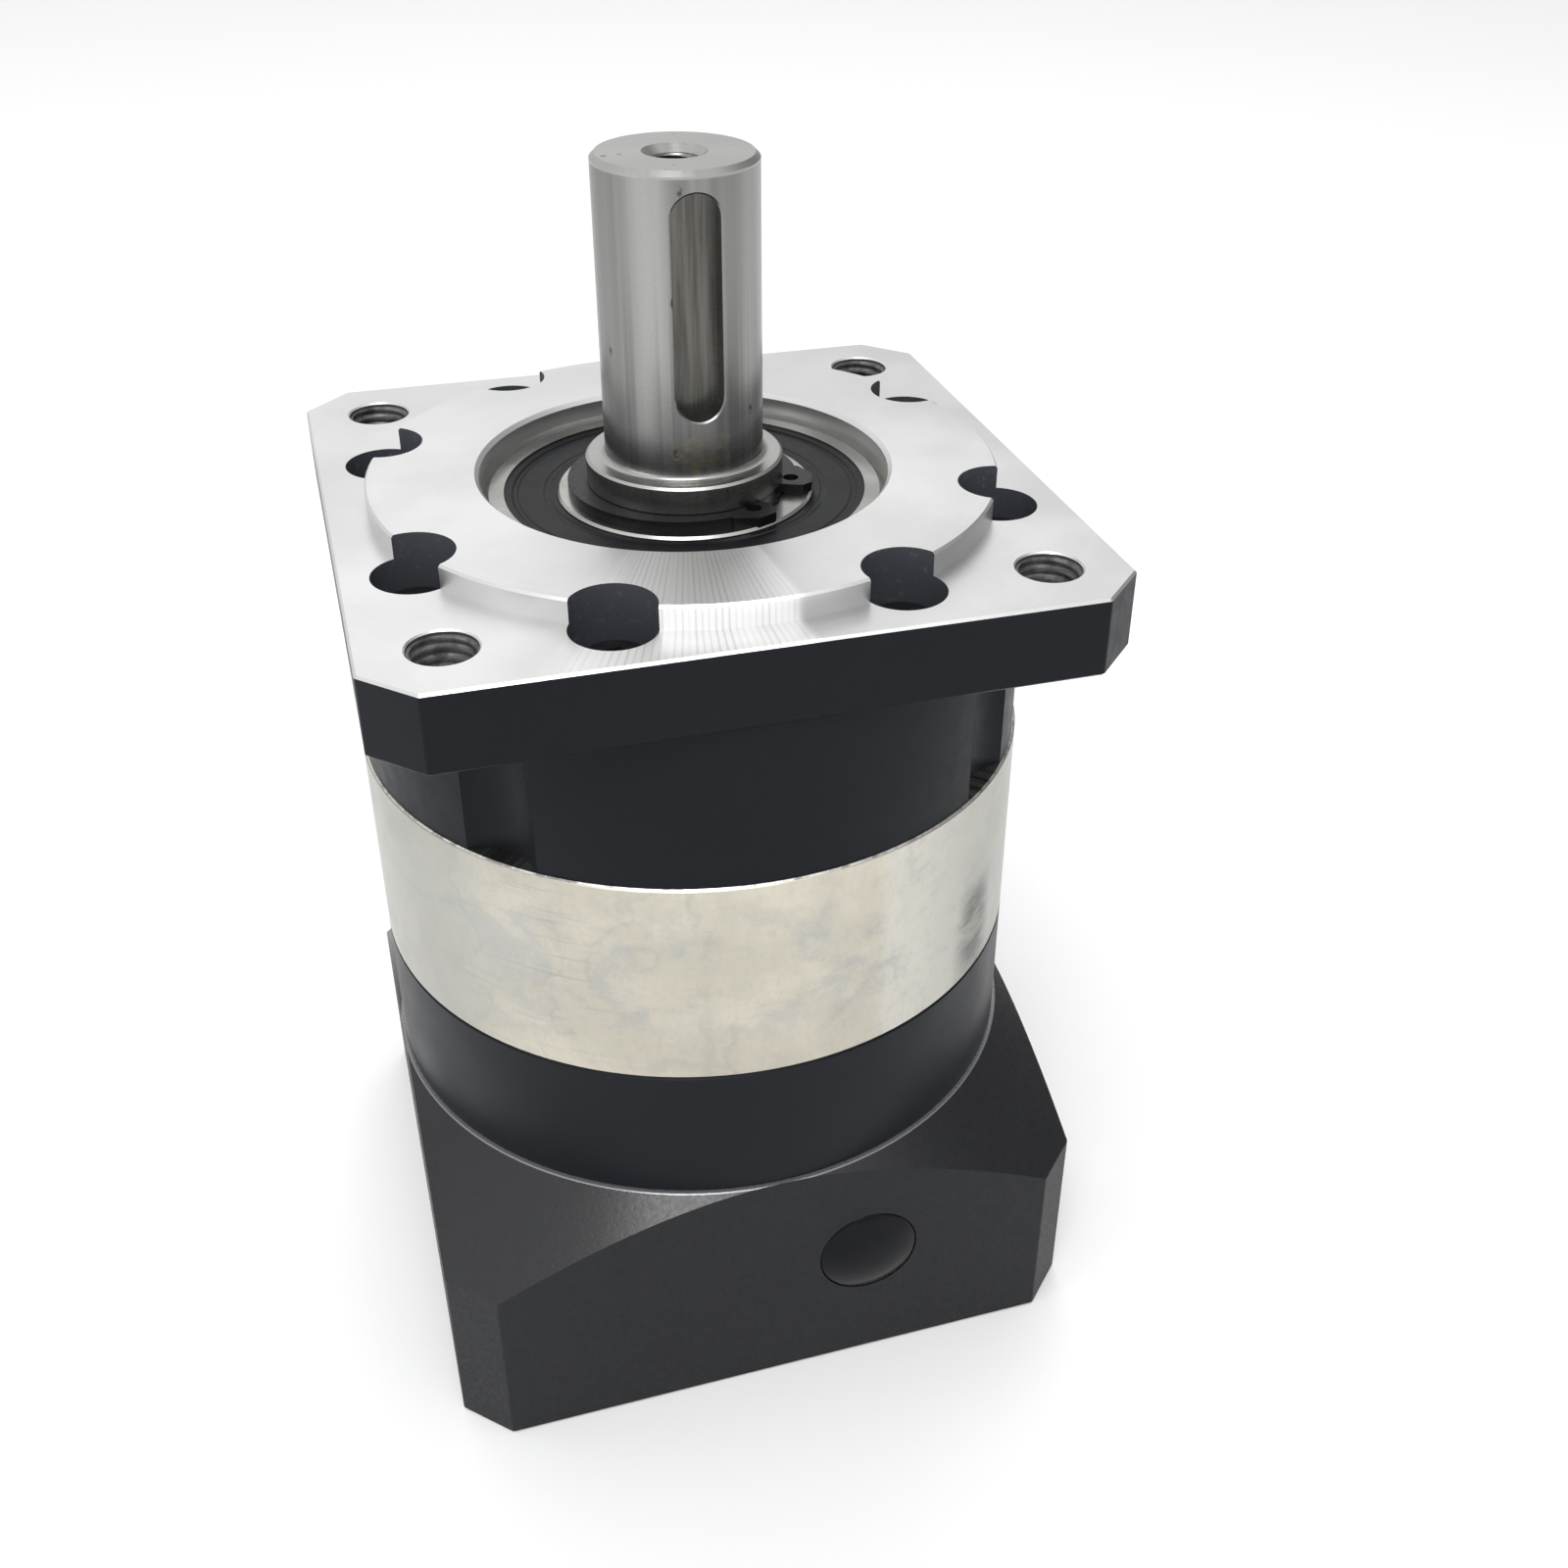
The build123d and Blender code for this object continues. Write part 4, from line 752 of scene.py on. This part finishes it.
def add_threads():
    """Threads in the flange's corners, in the shaft's end and in the motor's bolt holes."""
    flange_spacing = MOUNTS["output_flange_bolts"]["dims"]["pcd_mm"] * MM / math.sqrt(2)
    for number, (x, y) in enumerate(square_corners(flange_spacing), start=1):
        thread_sleeve(f"flange_thread_{number}", mount_radius("output_flange_bolts"),
                      FLANGE_THREAD_PITCH, FLANGE_THREAD_LENGTH, (x, y, FLANGE_THREAD_LOW),
                      "housing", THREAD_MATERIAL)
    motor_spacing = MOUNTS["motor_bolts"]["dims"]["spacing_x_mm"] * MM
    for number, (x, y) in enumerate(square_corners(motor_spacing), start=1):
        thread_sleeve(f"motor_thread_{number}", mount_radius("motor_bolts"),
                      MOTOR_THREAD_PITCH, MOTOR_THREAD_LENGTH, (x, y, MOTOR_THREAD_LOW),
                      "housing", THREAD_MATERIAL)
    thread_sleeve("shaft_end_thread", mount_radius("shaft_end_thread"),
                  SHAFT_THREAD_PITCH, SHAFT_THREAD_LENGTH, (0.0, 0.0, SHAFT_THREAD_LOW),
                  "output", SLOT_MATERIALS["ground_steel"])


# ---------------------------------------------------------------- floor, light and camera
def add_floor():
    """A plain pale floor, a hair below the motor face so that the two planes don't coincide."""
    mesh = bpy.data.meshes.new("floor")
    signs = [(-1, -1), (1, -1), (1, 1), (-1, 1)]
    corners = [(x * FLOOR_HALF, y * FLOOR_HALF, FLOOR_HEIGHT) for x, y in signs]
    mesh.from_pydata(corners, [], [(0, 1, 2, 3)])
    floor = bpy.data.objects.new("floor", mesh)
    bpy.context.scene.collection.objects.link(floor)
    g = Finish("pale_floor", Roughness=0.7, Specular_IOR_Level=0.1)
    g.set("Base Color", g.blend(g.noise(3.0), (0.95, 0.95, 0.95), (0.97, 0.97, 0.97)))
    mesh.materials.append(g.material)


def add_softbox(name, direction, distance, size, radiance):
    """A square area light in a direction from the object's middle."""
    outward = Vector(direction).normalized()
    lamp = bpy.data.lights.new(name, "AREA")
    lamp.shape = "SQUARE"
    lamp.size = size
    lamp.energy = radiance * math.pi * size * size
    holder = bpy.data.objects.new(name, lamp)
    holder.location = Vector(LIT_POINT) + outward * distance
    holder.rotation_mode = "QUATERNION"
    holder.rotation_quaternion = (-outward).to_track_quat("-Z", "Y")
    bpy.context.scene.collection.objects.link(holder)


def add_surround():
    """The sky: brighter upwards and behind, dimmer straight above and at the right."""
    world = bpy.data.worlds.new("studio")
    world.use_nodes = True
    tree = world.node_tree
    direction = tree.nodes.new("ShaderNodeTexCoord").outputs["Generated"]
    g = Graph(tree, direction)
    x, y, z = g.split(direction)
    height = g.math("MAXIMUM", z, 0.0)
    behind = g.times(g.ramp(y, 0.5, 0.8), g.ramp(x, 0.15, 0.45, 1.0, 0.0), SKY_BEHIND)
    upwards = g.times(g.math("POWER", height, 1.5), SKY_RISE)
    rising = g.add(g.add(upwards, SKY_HORIZON), behind)
    right = g.ramp(x, 0.45, 0.80, 1.0, 0.45)
    overhead = g.ramp(z, 0.84, 0.97, 1.0, 0.40)
    background = tree.nodes["Background"]
    background.inputs["Color"].default_value = (0.995, 0.998, 1.0, 1.0)
    g.wire(g.times(rising, right, overhead), background.inputs["Strength"])
    bpy.context.scene.world = world


def add_light():
    """Soft studio light: two boxes overhead, one at the left, and the surround."""
    for softbox in SOFTBOXES:
        add_softbox(*softbox)
    add_surround()
    bpy.context.scene.view_settings.view_transform = "Standard"


def add_camera():
    """The camera, from the left and a little above, close to the object."""
    place = Vector(CAMERA_PLACE)
    camera = bpy.data.cameras.new("camera")
    camera.sensor_width = CAMERA_SENSOR
    camera.lens = CAMERA_LENS
    camera.shift_x, camera.shift_y = CAMERA_SHIFT
    camera.clip_start = 0.01
    holder = bpy.data.objects.new("camera", camera)
    holder.location = place
    holder.rotation_mode = "QUATERNION"
    level = (Vector(CAMERA_AIM) - place).to_track_quat("-Z", "Y")
    holder.rotation_quaternion = level @ Quaternion((0, 0, 1), math.radians(CAMERA_ROLL))
    bpy.context.scene.collection.objects.link(holder)
    bpy.context.scene.camera = holder


dress_cad_nodes()
add_threads()
add_floor()
add_light()
add_camera()
